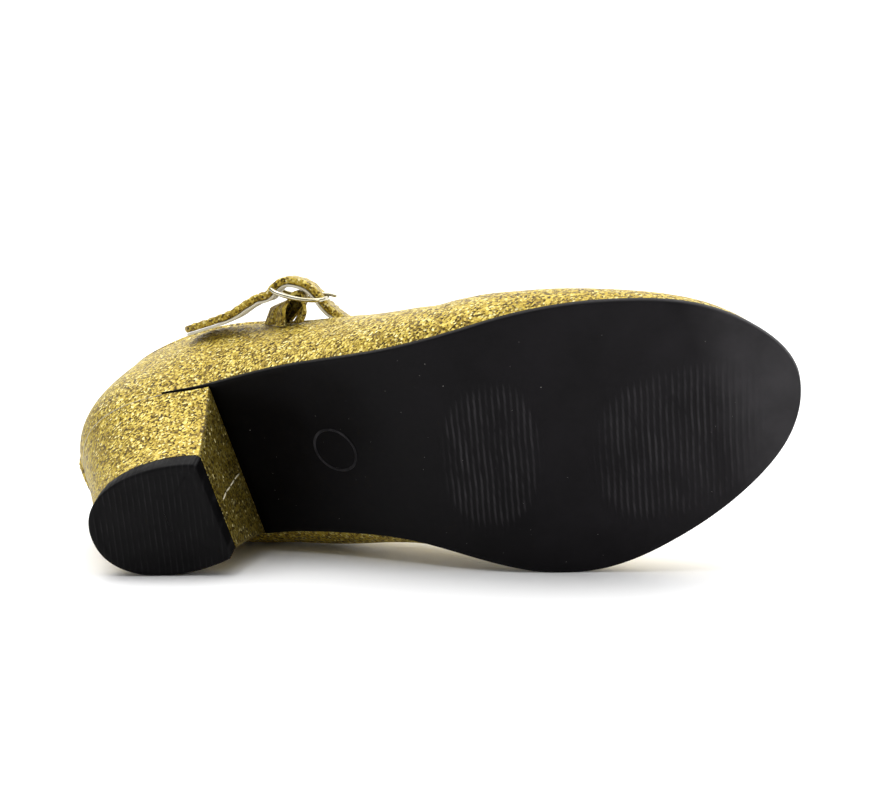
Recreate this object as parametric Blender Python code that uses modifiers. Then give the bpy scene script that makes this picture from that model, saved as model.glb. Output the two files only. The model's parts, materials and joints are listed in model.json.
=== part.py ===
"""A child's flamenco shoe for the right foot, lying on its inner side with its sole facing -Y.

The shoe is modelled standing: toe along +X, inner side of the foot along +Y, floor at Z = 0.
The last step turns the whole shoe on its inner side, as it comes to rest on a floor.
All sizes are in metres.
"""
import math
from collections import namedtuple

import bmesh
import bpy
import numpy as np
from mathutils import Matrix, Vector

# Driving sizes of the last
SHOE_LENGTH = 0.196
BALL_WIDTH = 0.0699
BREAST_HEIGHT = 0.0290       # sole's underside over the floor at the front of the heel
SEAT_SLOPE = 0.16            # rise of the heel seat towards the back, per length
TOE_SPRING = 0.0070
COLLAR_HEIGHT = 0.0430       # back of the collar over the heel seat
INSTEP_HEIGHT = 0.0362       # throat over the forefoot's sole

# Driving sizes of the pieces
UPPER_WALL = 0.0018
SOLE_THICKNESS = 0.0024
SOLE_SKIVE = 0.0008          # thickness left where the sole ends under the heel seat
SOLE_MARGIN = 0.0005         # sole edge proud of the upper
SOLE_EDGE_ROUND = 0.0005
INSOLE_THICKNESS = 0.0020
HEEL_BREAST = 0.0485         # front of the heel's foot, from the back of the shoe
HEEL_FOOT_LENGTH = 0.0335
HEEL_FOOT_WIDTH = 0.0268     # across the breast
HEEL_TOP_LIFT = 0.0053       # thickness of the top piece
HEEL_EDGE_ROUND = 0.0005
STRAP_WIDTH = 0.0098
STRAP_THICKNESS = 0.0024
STRAP_TIP_LENGTH = 0.0045    # rounded end of the strap
STRAP_DIP = 0.0013           # further down below the frame's end bars, where the strap slopes
FRAME_LENGTH = 0.0138        # between the centres of the buckle's end bars
FRAME_WIDTH = 0.0146         # between the centres of its long sides
FRAME_WIRE = 0.0012
FRAME_BOW = 0.0009           # end bars over the centre bar
PRONG_WIRE = 0.0009
CHAPE_WIDTH = 0.0080
CHAPE_THICKNESS = 0.0010
CHAPE_LOOP = 0.0062          # widest part of the chape's loop
BUCKLE_STANDOFF = 0.0068     # centre bar over the quarter's wall

# Clearances and mesh fineness
CLEARANCE = 0.0003
HOLE_CLEARANCE = 0.0004
ROUND_STEPS = 72             # sections of the upper and points of the sole's outline
WALL_STEPS = 9
BELOW_FEATHER = 0.0030       # the wall starts this far down and is cut level with the sole
CUTTER_REACH = 0.100

# Shares of the shoe's length where the sole's underside changes, and of the shape of the heel's foot
FLAT_START = 0.643
FLAT_END = 0.811
SOLE_END = 0.130
HEEL_FOOT_FULLNESS = 0.26
HEEL_FOOT_BACK = 1.09
HEEL_FOOT_RUN = 0.36
HEEL_WAISTING = 1.15

# Sections of the last, one row for each, from the back round by the outer side to the toe and
# back by the inner side. Each runs up the wall from the sole's edge to the collar.
# along, side: place of the sole's edge. top_along, top_side: place of the collar above it.
# Lengths are shares of SHOE_LENGTH, widths of BALL_WIDTH. collar, instep: the wall's height as
# shares of COLLAR_HEIGHT and INSTEP_HEIGHT. rise, drop: length of the curve's lower and upper
# handle as shares of that height. flare, swell: how far these handles push the wall out, as
# shares of BALL_WIDTH. pull: how far the upper handle runs out towards the sole's edge.
Section = namedtuple("Section", "along side top_along top_side collar instep rise drop flare swell pull")
SECTIONS = [
    Section(0.015, 0.000, 0.016, 0.000, 1.00, 0.00, 0.30, 0.36, 0.112, 0.078, 0.0),
    Section(0.038, -0.184, 0.047, -0.188, 0.99, 0.00, 0.30, 0.36, 0.084, 0.048, 0.0),
    Section(0.102, -0.284, 0.117, -0.284, 0.94, 0.00, 0.30, 0.34, 0.055, 0.030, 0.0),
    Section(0.224, -0.308, 0.230, -0.342, 0.84, 0.00, 0.30, 0.32, 0.054, 0.034, 0.0),
    Section(0.357, -0.348, 0.345, -0.340, 0.30, 0.53, 0.30, 0.30, 0.050, 0.030, 0.0),
    Section(0.510, -0.394, 0.455, -0.346, 0.00, 0.87, 0.28, 0.26, 0.074, 0.062, 0.0),
    Section(0.679, -0.438, 0.560, -0.272, 0.00, 0.95, 0.30, 0.14, 0.104, 0.056, 0.20),
    Section(0.816, -0.401, 0.633, -0.148, 0.00, 0.99, 0.31, 0.12, 0.052, 0.030, 0.33),
    Section(0.908, -0.306, 0.668, -0.066, 0.00, 1.00, 0.32, 0.14, 0.022, 0.018, 0.38),
    Section(0.969, -0.150, 0.683, 0.000, 0.00, 1.00, 0.33, 0.16, 0.040, 0.016, 0.41),
    Section(0.997, 0.029, 0.688, 0.058, 0.00, 1.00, 0.34, 0.17, 0.018, 0.014, 0.42),
    Section(0.977, 0.210, 0.684, 0.118, 0.00, 1.00, 0.33, 0.16, 0.010, 0.014, 0.41),
    Section(0.916, 0.355, 0.669, 0.184, 0.00, 1.00, 0.33, 0.14, 0.010, 0.016, 0.40),
    Section(0.816, 0.480, 0.635, 0.270, 0.00, 0.98, 0.32, 0.12, 0.018, 0.022, 0.35),
    Section(0.699, 0.544, 0.572, 0.370, 0.00, 0.95, 0.30, 0.14, 0.034, 0.036, 0.24),
    Section(0.587, 0.466, 0.492, 0.414, 0.00, 0.92, 0.26, 0.22, 0.066, 0.050, 0.08),
    Section(0.469, 0.352, 0.412, 0.397, 0.00, 0.90, 0.22, 0.28, 0.150, 0.066, 0.0),
    Section(0.357, 0.322, 0.335, 0.391, 0.30, 0.56, 0.20, 0.30, 0.232, 0.084, 0.0),
    Section(0.224, 0.306, 0.230, 0.366, 0.84, 0.00, 0.22, 0.32, 0.204, 0.084, 0.0),
    Section(0.102, 0.284, 0.117, 0.298, 0.94, 0.00, 0.28, 0.34, 0.086, 0.050, 0.0),
    Section(0.038, 0.184, 0.048, 0.191, 0.99, 0.00, 0.30, 0.36, 0.072, 0.048, 0.0),
]

# Places on the upper: section counted from the back by the outer side, share of the wall's height
BUCKLE_SECTION, BUCKLE_UP = 4.00, 0.89
TAIL_SECTION, TAIL_UP = 2.55, 0.80
STRAP_ROOT_SECTION = 16.95
STRAP_ROOT_LOW, STRAP_ROOT_HIGH = 0.66, 0.92

# Directions on the standing shoe: the buckle along the strap towards the instep and across it,
# and the way that the free end's outer face looks
BUCKLE_ALONG = (0.894, 0.447, 0.0)
BUCKLE_ACROSS = (-0.15, 0.30, 0.94)
TAIL_FACE = (-0.18, -0.93, 0.32)

# The strap's arch over the instep. span: share of the way from the inner quarter to the buckle.
# rise: share of INSTEP_HEIGHT over the straight line. ahead: share of SHOE_LENGTH.
# face_ahead, face_side, face_up: which way the strap's outer face looks.
Arch = namedtuple("Arch", "span rise ahead face_ahead face_side face_up")
STRAP_ARCH = [
    Arch(0.16, 0.34, 0.022, 0.30, 0.70, 0.60),
    Arch(0.38, 0.60, 0.040, 0.45, 0.25, 0.85),
    Arch(0.62, 0.58, 0.042, 0.50, -0.20, 0.80),
    Arch(0.84, 0.26, 0.026, 0.50, -0.62, 0.55),
]

# Bends of the free end: share of the way from the end bar to the tip, and lift off the straight line
TAIL_BENDS = [(0.30, 0.0006), (0.65, -0.0006)]

# Densities for the centre of mass, in kilograms for each cubic metre
DENSITY = {
    "outsole": 1150.0, "heel_block": 650.0, "heel_top_piece": 1200.0, "upper": 750.0, "insole": 700.0,
    "strap": 700.0, "buckle_chape": 700.0, "buckle_frame": 7000.0, "buckle_prong": 7000.0,
}

# Colours as red, green, blue, with roughness and metallic value
FINISHES = {
    "black_rubber": ((0.012, 0.012, 0.013), 0.45, 0.0),
    "gold_glitter": ((0.52, 0.38, 0.10), 0.40, 0.6),
    "cream_lining": ((0.78, 0.74, 0.60), 0.75, 0.0),
    "pale_metal": ((0.72, 0.70, 0.62), 0.22, 1.0),
}


def clear_scene():
    for obj in list(bpy.data.objects):
        bpy.data.objects.remove(obj, do_unlink=True)


def new_collection(name):
    collection = bpy.data.collections.new(name)
    bpy.context.scene.collection.children.link(collection)
    return collection


def finish_material(name):
    material = bpy.data.materials.get(name)
    if material:
        return material
    colour, roughness, metallic = FINISHES[name]
    material = bpy.data.materials.new(name)
    material.use_nodes = True
    shader = material.node_tree.nodes["Principled BSDF"]
    shader.inputs["Base Color"].default_value = (*colour, 1.0)
    shader.inputs["Roughness"].default_value = roughness
    shader.inputs["Metallic"].default_value = metallic
    material.diffuse_color = (*colour, 1.0)
    return material


def add_object(name, data, collection, finish=None):
    obj = bpy.data.objects.new(name, data)
    collection.objects.link(obj)
    if finish:
        data.materials.append(finish_material(finish))
    return obj


def mesh_from_bmesh(name, bm):
    bmesh.ops.recalc_face_normals(bm, faces=bm.faces[:])
    mesh = bpy.data.meshes.new(name)
    bm.to_mesh(mesh)
    bm.free()
    return mesh


def smooth_shade(mesh, angle=math.radians(35)):
    mesh.shade_smooth()
    mesh.set_sharp_from_angle(angle=angle)


def add_bevel(obj, width, segments=1):
    bevel = obj.modifiers.new("rounded edges", "BEVEL")
    bevel.width = width
    bevel.segments = segments
    bevel.limit_method = "ANGLE"
    bevel.angle_limit = math.radians(40)


def subtract(obj, cutter):
    cutter.hide_render = True
    cutter.display_type = "WIRE"
    cut = obj.modifiers.new("cut by " + cutter.name, "BOOLEAN")
    cut.operation = "DIFFERENCE"
    cut.solver = "EXACT"
    cut.object = cutter


# Profiles of the sole


def sole_underside(x):
    """Height of the sole's underside: toe spring, flat forefoot, arch and heel seat."""
    start, end = FLAT_START * SHOE_LENGTH, FLAT_END * SHOE_LENGTH
    if x >= end:
        return TOE_SPRING * ((x - end) / (SHOE_LENGTH - end)) ** 2
    if x >= start:
        return 0.0
    if x <= HEEL_BREAST:
        return BREAST_HEIGHT + SEAT_SLOPE * (HEEL_BREAST - x)
    span = start - HEEL_BREAST
    u = (x - HEEL_BREAST) / span
    level = BREAST_HEIGHT * (2 * u ** 3 - 3 * u ** 2 + 1)
    return level - SEAT_SLOPE * span * (u ** 3 - 2 * u ** 2 + u)


def feather_height(x):
    """Height of the line where the upper meets the sole."""
    return sole_underside(x) + SOLE_THICKNESS


def skived_underside(x):
    """The sole's real underside, which thins out under the heel seat."""
    end = SOLE_END * SHOE_LENGTH
    if x >= HEEL_BREAST:
        return sole_underside(x)
    thickness = SOLE_SKIVE + (SOLE_THICKNESS - SOLE_SKIVE) * max(0.0, x - end) / (HEEL_BREAST - end)
    return feather_height(x) - thickness


# Closed splines round the last


def closed_spline_slopes(knots, values):
    """Slopes of the smooth closed cubic spline through the values at the knots."""
    count = len(values)
    matrix = np.zeros((count, count))
    right = np.zeros_like(values)
    for i in range(count):
        before, after = knots[i] - knots[i - 1], knots[i + 1] - knots[i]
        if i == 0:
            before = knots[count] - knots[count - 1]
        matrix[i, i - 1] += 1 / before
        matrix[i, i] += 2 / before + 2 / after
        matrix[i, (i + 1) % count] += 1 / after
        rise_before = (values[i] - values[i - 1]) / before ** 2
        rise_after = (values[(i + 1) % count] - values[i]) / after ** 2
        right[i] = 3 * (rise_before + rise_after)
    return np.linalg.solve(matrix, right)


class ClosedSpline:
    """Smooth closed curve through rows of values, spaced by the distance between its points."""

    def __init__(self, rows, points):
        self.values = np.array(rows, float)
        loop = np.vstack([points, points[:1]])
        steps = np.linalg.norm(np.diff(loop, axis=0), axis=1)
        self.knots = np.concatenate([[0.0], np.cumsum(steps)])
        self.slopes = closed_spline_slopes(self.knots, self.values)
        self.length = self.knots[-1]

    def at(self, distance):
        distance = distance % self.length
        count = len(self.values)
        i = min(int(np.searchsorted(self.knots, distance, side="right")) - 1, count - 1)
        j = (i + 1) % count
        step = self.knots[i + 1] - self.knots[i]
        u = (distance - self.knots[i]) / step
        start = (2 * u ** 3 - 3 * u ** 2 + 1) * self.values[i] + (u ** 3 - 2 * u ** 2 + u) * step * self.slopes[i]
        end = (3 * u ** 2 - 2 * u ** 3) * self.values[j] + (u ** 3 - u ** 2) * step * self.slopes[j]
        return start + end

    def distance_of(self, section):
        """Distance along the curve of a section number, which may lie between two sections."""
        i = int(section)
        return self.knots[i] + (section - i) * (self.knots[i + 1] - self.knots[i])


def section_spline():
    edge = np.array([(s.along * SHOE_LENGTH, s.side * BALL_WIDTH) for s in SECTIONS])
    return ClosedSpline([list(s) for s in SECTIONS], edge)


LAST = section_spline()


def edge_point(distance, margin=0.0):
    """Plan point of the sole's edge, moved out by the margin."""
    ahead, behind = LAST.at(distance + 0.0005), LAST.at(distance - 0.0005)
    along = np.array([(ahead[0] - behind[0]) * SHOE_LENGTH, (ahead[1] - behind[1]) * BALL_WIDTH])
    along /= np.linalg.norm(along)
    row = LAST.at(distance)
    outward = np.array([along[1], -along[0]])
    return np.array([row[0] * SHOE_LENGTH, row[1] * BALL_WIDTH]) + outward * margin, outward


def last_point(distance, up, grow=0.0):
    """Point of the upper's outer face: up is 0 at the sole and 1 at the collar."""
    section = Section(*LAST.at(distance))
    foot, outward = edge_point(distance)
    out = np.array([outward[0], outward[1], 0.0])
    height = section.collar * COLLAR_HEIGHT + section.instep * INSTEP_HEIGHT
    top_x = section.top_along * SHOE_LENGTH
    low = np.array([foot[0], foot[1], feather_height(foot[0])])
    top = np.array([top_x, section.top_side * BALL_WIDTH, feather_height(top_x) + height])
    level = np.array([0.0, 0.0, 1.0])
    run = np.array([low[0] - top[0], low[1] - top[1], 0.0])
    low_handle = low + level * section.rise * height + out * section.flare * BALL_WIDTH
    top_handle = top - level * section.drop * height + out * section.swell * BALL_WIDTH + run * section.pull
    if up < 0:
        point = low + level * up
    else:
        down = 1 - up
        point = (down ** 3 * low + 3 * down ** 2 * up * low_handle + 3 * down * up ** 2 * top_handle + up ** 3 * top)
    return point if grow == 0 else point + last_normal(distance, up) * grow


def last_normal(distance, up):
    """Outward direction of the upper's outer face."""
    step = 0.0006
    up = min(max(up, 0.03), 0.97)
    around = last_point(distance + step, up) - last_point(distance - step, up)
    rising = last_point(distance, up + 0.02) - last_point(distance, up - 0.02)
    normal = np.cross(around, rising)
    return normal / np.linalg.norm(normal)


def plan_outline(margin):
    """The sole's outline in plan, moved out by the margin."""
    return [edge_point(LAST.length * i / ROUND_STEPS, margin)[0] for i in range(ROUND_STEPS)]


# Solids


def bent_plate(name, outline, underside, topside, back=None):
    """A plate of the plan outline, cut into cross strips and bent to the two profiles."""
    bm = bmesh.new()
    bm.faces.new([bm.verts.new((x, y, 0.0)) for x, y in outline])
    low, high = min(x for x, _ in outline), max(x for x, _ in outline)
    strips = 26
    for i in range(1, strips):
        x = low + (high - low) * (1 - math.cos(math.pi * i / strips)) / 2
        geometry = bm.verts[:] + bm.edges[:] + bm.faces[:]
        bmesh.ops.bisect_plane(bm, geom=geometry, plane_co=(x, 0, 0), plane_no=(1, 0, 0), dist=1e-7)
    if back is not None:
        geometry = bm.verts[:] + bm.edges[:] + bm.faces[:]
        bmesh.ops.bisect_plane(bm, geom=geometry, plane_co=(back, 0, 0), plane_no=(1, 0, 0), clear_inner=True)
    bmesh.ops.remove_doubles(bm, verts=bm.verts[:], dist=0.00015)
    base = bm.verts[:]
    raised = bmesh.ops.extrude_face_region(bm, geom=bm.faces[:])["geom"]
    top = [v for v in raised if isinstance(v, bmesh.types.BMVert)]
    for vert in base:
        vert.co.z = underside(vert.co.x)
    for vert in top:
        vert.co.z = topside(vert.co.x)
    mesh = mesh_from_bmesh(name, bm)
    smooth_shade(mesh)
    return mesh


def side_prism(name, profile, collection):
    """A cutter: an outline in the XZ plane, extruded across the shoe."""
    bm = bmesh.new()
    near = [bm.verts.new((x, -CUTTER_REACH, z)) for x, z in profile]
    far = [bm.verts.new((x, CUTTER_REACH, z)) for x, z in profile]
    bm.faces.new(near)
    bm.faces.new(far)
    for i in range(len(profile)):
        j = (i + 1) % len(profile)
        bm.faces.new((near[i], near[j], far[j], far[i]))
    return add_object(name, mesh_from_bmesh(name, bm), collection)


def build_outsole(parts):
    back = SOLE_END * SHOE_LENGTH
    mesh = bent_plate("outsole", plan_outline(SOLE_MARGIN), skived_underside, feather_height, back)
    sole = add_object("outsole", mesh, parts, "black_rubber")
    add_bevel(sole, SOLE_EDGE_ROUND)
    return sole


def build_insole(parts):
    inset = UPPER_WALL + 3 * CLEARANCE

    def low(x):
        return feather_height(x) + CLEARANCE

    def high(x):
        return low(x) + INSOLE_THICKNESS

    return add_object("insole", bent_plate("insole", plan_outline(-inset), low, high), parts, "cream_lining")


def build_upper(parts, cutters):
    """The hollow upper: an open skin round the last, given its wall inwards and cut level below."""
    bm = bmesh.new()
    levels = [-BELOW_FEATHER] + [i / WALL_STEPS for i in range(WALL_STEPS + 1)]
    rings = []
    for up in levels:
        ring = [bm.verts.new(last_point(LAST.length * i / ROUND_STEPS, up)) for i in range(ROUND_STEPS)]
        rings.append(ring)
    for lower, upper in zip(rings, rings[1:]):
        for i in range(ROUND_STEPS):
            j = (i + 1) % ROUND_STEPS
            bm.faces.new((lower[i], lower[j], upper[j], upper[i]))
    mesh = bpy.data.meshes.new("upper")
    bm.to_mesh(mesh)
    bm.free()
    smooth_shade(mesh)
    shell = add_object("upper", mesh, parts, "gold_glitter")
    wall = shell.modifiers.new("wall", "SOLIDIFY")
    wall.thickness = UPPER_WALL
    wall.offset = -1.0
    wall.use_even_offset = True
    steps = 40
    stations = [SHOE_LENGTH * (-0.05 + 1.1 * i / steps) for i in range(steps + 1)]
    profile = [(x, feather_height(x) + CLEARANCE) for x in stations]
    below = -CUTTER_REACH
    profile += [(stations[-1], below), (stations[0], below)]
    subtract(shell, side_prism("cut_under_upper", profile, cutters))
    return shell


def heel_foot_outline(count):
    """Outline of the heel's foot from the outer breast corner round the back, as a smooth D."""
    half = HEEL_FOOT_WIDTH / 2
    back = HEEL_BREAST - HEEL_FOOT_LENGTH
    corner = np.array([HEEL_BREAST, half])
    first = np.array([HEEL_BREAST - HEEL_FOOT_RUN * HEEL_FOOT_LENGTH, half * (1 + HEEL_FOOT_FULLNESS)])
    second = np.array([back, half * HEEL_FOOT_BACK])
    rear = np.array([back, 0.0])
    side = []
    for i in range(count + 1):
        t = i / count
        point = (1 - t) ** 3 * corner + 3 * (1 - t) ** 2 * t * first + 3 * (1 - t) * t ** 2 * second + t ** 3 * rear
        side.append(point)
    outer = [np.array([x, -y]) for x, y in side]
    return outer + side[-2::-1]


def even_points(points, count):
    """The same open curve with evenly spaced points."""
    points = np.array(points)
    steps = np.linalg.norm(np.diff(points, axis=0), axis=1)
    reach = np.concatenate([[0.0], np.cumsum(steps)])
    spots = np.linspace(0.0, reach[-1], count)
    return np.column_stack([np.interp(spots, reach, points[:, 0]), np.interp(spots, reach, points[:, 1])])


def heel_seat_outline(count):
    """The heel's outline at the seat: the sole's edge behind the breast, corner to corner."""
    samples = [edge_point(LAST.length * i / 400, 0.0)[0] for i in range(400)]
    outer = [p for p in samples if p[0] < HEEL_BREAST and p[1] <= 0]
    inner = [p for p in samples if p[0] < HEEL_BREAST and p[1] > 0]
    outer.sort(key=lambda p: p[1])
    inner.sort(key=lambda p: p[1])
    outer_corner = np.array([HEEL_BREAST, min(p[1] for p in outer)])
    inner_corner = np.array([HEEL_BREAST, max(p[1] for p in inner)])
    behind = sorted(outer, key=lambda p: -p[0]) + sorted(inner, key=lambda p: p[0])
    return even_points([outer_corner] + behind + [inner_corner], count)


def build_heel_block(parts, cutters):
    """Block heel: lofted from the D-shaped foot to the seat, then cut to carry the sole's end."""
    count = 33
    foot = even_points(heel_foot_outline(24), count)
    seat = heel_seat_outline(count)
    levels = 7
    floor = HEEL_TOP_LIFT + CLEARANCE
    bm = bmesh.new()
    rings = []
    for level in range(levels):
        share = level / (levels - 1)
        plan = foot + (seat - foot) * share ** HEEL_WAISTING
        ring = []
        for x, y in plan:
            top = feather_height(x)
            ring.append(bm.verts.new((x, y, floor + (top - floor) * share)))
        rings.append(ring)
    bm.faces.new(rings[0])
    bm.faces.new(rings[-1])
    for lower, upper in zip(rings, rings[1:]):
        for i in range(count):
            j = (i + 1) % count
            bm.faces.new((lower[i], lower[j], upper[j], upper[i]))
    mesh = mesh_from_bmesh("heel_block", bm)
    smooth_shade(mesh, math.radians(50))
    block = add_object("heel_block", mesh, parts, "gold_glitter")
    end = SOLE_END * SHOE_LENGTH - CLEARANCE
    front = HEEL_BREAST + CLEARANCE * 10
    above = feather_height(0.0) + SOLE_THICKNESS
    notch = [(end, skived_underside(end) - CLEARANCE), (HEEL_BREAST, sole_underside(HEEL_BREAST) - CLEARANCE),
             (front, sole_underside(HEEL_BREAST) - CLEARANCE), (front, above), (end, above)]
    subtract(block, side_prism("cut_for_sole_end", notch, cutters))
    return block


def build_top_piece(parts):
    outline = even_points(heel_foot_outline(24), 33)
    bm = bmesh.new()
    face = bm.faces.new([bm.verts.new((x, y, 0.0)) for x, y in outline])
    raised = bmesh.ops.extrude_face_region(bm, geom=[face])["geom"]
    top = [v for v in raised if isinstance(v, bmesh.types.BMVert)]
    bmesh.ops.translate(bm, verts=top, vec=(0, 0, HEEL_TOP_LIFT))
    mesh = mesh_from_bmesh("heel_top_piece", bm)
    smooth_shade(mesh)
    piece = add_object("heel_top_piece", mesh, parts, "black_rubber")
    add_bevel(piece, HEEL_EDGE_ROUND)
    return piece


# Strap and buckle


def unit(vector):
    vector = np.array(vector, float)
    return vector / np.linalg.norm(vector)


def buckle_axes():
    """Buckle's centre and its directions: along the strap, out of the quarter, across the strap."""
    along = unit(BUCKLE_ALONG)
    across = unit(np.array(BUCKLE_ACROSS) - along * np.dot(BUCKLE_ACROSS, along))
    outward = np.cross(along, across)
    seat = last_point(LAST.distance_of(BUCKLE_SECTION), BUCKLE_UP)
    return seat + outward * BUCKLE_STANDOFF, along, outward, across


def strap_route():
    """Rows of centre point and outer-face direction, from the inner quarter to the free tip."""
    centre, along, outward, _ = buckle_axes()
    half = STRAP_THICKNESS / 2
    root = LAST.distance_of(STRAP_ROOT_SECTION)
    inside = UPPER_WALL + 2 * CLEARANCE + half
    rows = [(last_point(root, up, -inside), last_normal(root, up)) for up in (STRAP_ROOT_LOW, STRAP_ROOT_HIGH)]
    under_bar = FRAME_BOW - FRAME_WIRE / 2 - CLEARANCE - half - STRAP_DIP
    over_bar = FRAME_WIRE / 2 + 4 * CLEARANCE + CHAPE_THICKNESS + half
    end_bar = FRAME_LENGTH / 2
    start = rows[-1][0]
    goal = centre + along * end_bar + outward * under_bar
    for arch in STRAP_ARCH:
        point = start + (goal - start) * arch.span
        point = point + np.array([arch.ahead * SHOE_LENGTH, 0.0, arch.rise * INSTEP_HEIGHT])
        rows.append((point, unit((arch.face_ahead, arch.face_side, arch.face_up))))
    rows.append((goal, outward))
    rows.append((centre + outward * over_bar, outward))
    rows.append((centre - along * end_bar + outward * under_bar, outward))
    tail = LAST.distance_of(TAIL_SECTION)
    tip = last_point(tail, TAIL_UP, half + 3 * CLEARANCE)
    tip_face = unit(TAIL_FACE)
    near_bar = rows[-1][0]
    for share, lift in TAIL_BENDS:
        point = near_bar + (tip - near_bar) * share + outward * lift
        rows.append((point, unit(outward * (1 - share) + tip_face * share)))
    rows.append((tip, tip_face))
    return rows


def open_curve(points, count):
    """Evenly spaced points and directions of a smooth curve through the points."""
    points = np.array(points)
    steps = np.sqrt(np.linalg.norm(np.diff(points[:, :3], axis=0), axis=1))
    knots = np.concatenate([[0.0], np.cumsum(steps)])
    slopes = np.gradient(points, knots, axis=0, edge_order=1)
    fine = []
    for u in np.linspace(0.0, knots[-1], 600):
        i = min(int(np.searchsorted(knots, u, side="right")) - 1, len(points) - 2)
        step = knots[i + 1] - knots[i]
        t = (u - knots[i]) / step
        start = (2 * t ** 3 - 3 * t ** 2 + 1) * points[i] + (t ** 3 - 2 * t ** 2 + t) * step * slopes[i]
        end = (3 * t ** 2 - 2 * t ** 3) * points[i + 1] + (t ** 3 - t ** 2) * step * slopes[i + 1]
        fine.append(start + end)
    fine = np.array(fine)
    reach = np.concatenate([[0.0], np.cumsum(np.linalg.norm(np.diff(fine[:, :3], axis=0), axis=1))])
    spots = np.linspace(0.0, reach[-1], count)
    return np.column_stack([np.interp(spots, reach, column) for column in fine.T]), reach[-1]


def build_strap(parts, cutters):
    stations = 64
    route = strap_route()
    curve, length = open_curve([np.concatenate([point, face]) for point, face in route], stations)
    directions = np.gradient(curve[:, :3], axis=0)
    bm = bmesh.new()
    rings = []
    corner = STRAP_THICKNESS * 0.3
    for i in range(stations):
        travel = unit(directions[i])
        face = unit(curve[i, 3:] - travel * np.dot(curve[i, 3:], travel))
        across = np.cross(travel, face)
        to_tip = length * (1 - i / (stations - 1))
        inset = max(0.0, 1 - to_tip / STRAP_TIP_LENGTH)
        half = STRAP_WIDTH / 2 * math.sqrt(max(0.0, 1 - (0.92 * inset) ** 2))
        high = STRAP_THICKNESS / 2
        section = [(half, high - corner), (half - corner, high), (corner - half, high), (-half, high - corner),
                   (-half, corner - high), (corner - half, -high), (half - corner, -high), (half, corner - high)]
        rings.append([bm.verts.new(curve[i, :3] + across * side + face * up) for side, up in section])
    for before, after in zip(rings, rings[1:]):
        for i in range(8):
            j = (i + 1) % 8
            bm.faces.new((before[i], before[j], after[j], after[i]))
    bm.faces.new(rings[0])
    bm.faces.new(rings[-1])
    mesh = mesh_from_bmesh("strap", bm)
    smooth_shade(mesh)
    strap = add_object("strap", mesh, parts, "gold_glitter")
    centre, along, outward, _ = buckle_axes()
    start, end = prong_line()
    hole = add_rod("cut_prong_hole", centre + along * start[0] + outward * start[1],
                   centre + along * end[0] + outward * end[1], PRONG_WIRE / 2 + HOLE_CLEARANCE, cutters)
    subtract(strap, hole)
    return strap


def add_rod(name, start, end, radius, collection):
    """A closed cylinder between two points."""
    start, end = Vector(start), Vector(end)
    bm = bmesh.new()
    bmesh.ops.create_cone(bm, cap_ends=True, segments=16, radius1=radius, radius2=radius, depth=(end - start).length)
    mesh = mesh_from_bmesh(name, bm)
    rod = add_object(name, mesh, collection)
    turn = (end - start).to_track_quat("Z", "Y").to_matrix().to_4x4()
    rod.matrix_world = Matrix.Translation((start + end) / 2) @ turn
    return rod


def prong_line():
    """Start and end of the prong's straight pin: along the strap and out of the quarter."""
    first = FRAME_WIRE / 2 + CLEARANCE + PRONG_WIRE / 2
    last = FRAME_BOW + FRAME_WIRE / 2 + CLEARANCE + PRONG_WIRE / 2
    return (0.0, first), (FRAME_LENGTH / 2, last)


def wire_mesh(name, points, radius, closed, sides=2):
    """A tube along the points, as one welded mesh."""
    curve = bpy.data.curves.new(name, "CURVE")
    curve.dimensions = "3D"
    curve.bevel_depth = radius
    curve.bevel_resolution = sides
    curve.use_fill_caps = True
    spline = curve.splines.new("POLY")
    spline.points.add(len(points) - 1)
    for spot, point in zip(spline.points, points):
        spot.co = (*point, 1.0)
    spline.use_cyclic_u = closed
    guide = bpy.data.objects.new(name, curve)
    bpy.context.scene.collection.objects.link(guide)
    depsgraph = bpy.context.evaluated_depsgraph_get()
    mesh = bpy.data.meshes.new_from_object(guide.evaluated_get(depsgraph))
    bpy.data.objects.remove(guide, do_unlink=True)
    bm = bmesh.new()
    bm.from_mesh(mesh)
    bmesh.ops.remove_doubles(bm, verts=bm.verts[:], dist=1e-6)
    bmesh.ops.recalc_face_normals(bm, faces=bm.faces[:])
    bm.to_mesh(mesh)
    bm.free()
    mesh.name = name
    return mesh


def frame_loop(centre, along, outward, across):
    """The buckle's outer wire: a rounded oblong, bowed so that its end bars stand higher."""
    points = []
    count = 32
    power = 0.62
    for i in range(count):
        angle = 2 * math.pi * i / count
        c, s = math.cos(angle), math.sin(angle)
        run = FRAME_LENGTH / 2 * math.copysign(abs(c) ** power, c)
        side = FRAME_WIDTH / 2 * math.copysign(abs(s) ** power, s)
        bow = FRAME_BOW * (run / (FRAME_LENGTH / 2)) ** 2
        points.append(centre + along * run + across * side + outward * bow)
    return points


def build_frame(parts, cutters):
    """Wire frame and centre bar, joined into one solid."""
    centre, along, outward, across = buckle_axes()
    loop = wire_mesh("buckle_frame", frame_loop(centre, along, outward, across), FRAME_WIRE / 2, True)
    smooth_shade(loop)
    frame = add_object("buckle_frame", loop, parts, "pale_metal")
    reach = FRAME_WIDTH / 2
    bar = add_rod("join_centre_bar", centre - across * reach, centre + across * reach, FRAME_WIRE / 2, cutters)
    bar.hide_render = True
    bar.display_type = "WIRE"
    join = frame.modifiers.new("centre bar", "BOOLEAN")
    join.operation = "UNION"
    join.solver = "EXACT"
    join.object = bar
    return frame


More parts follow.
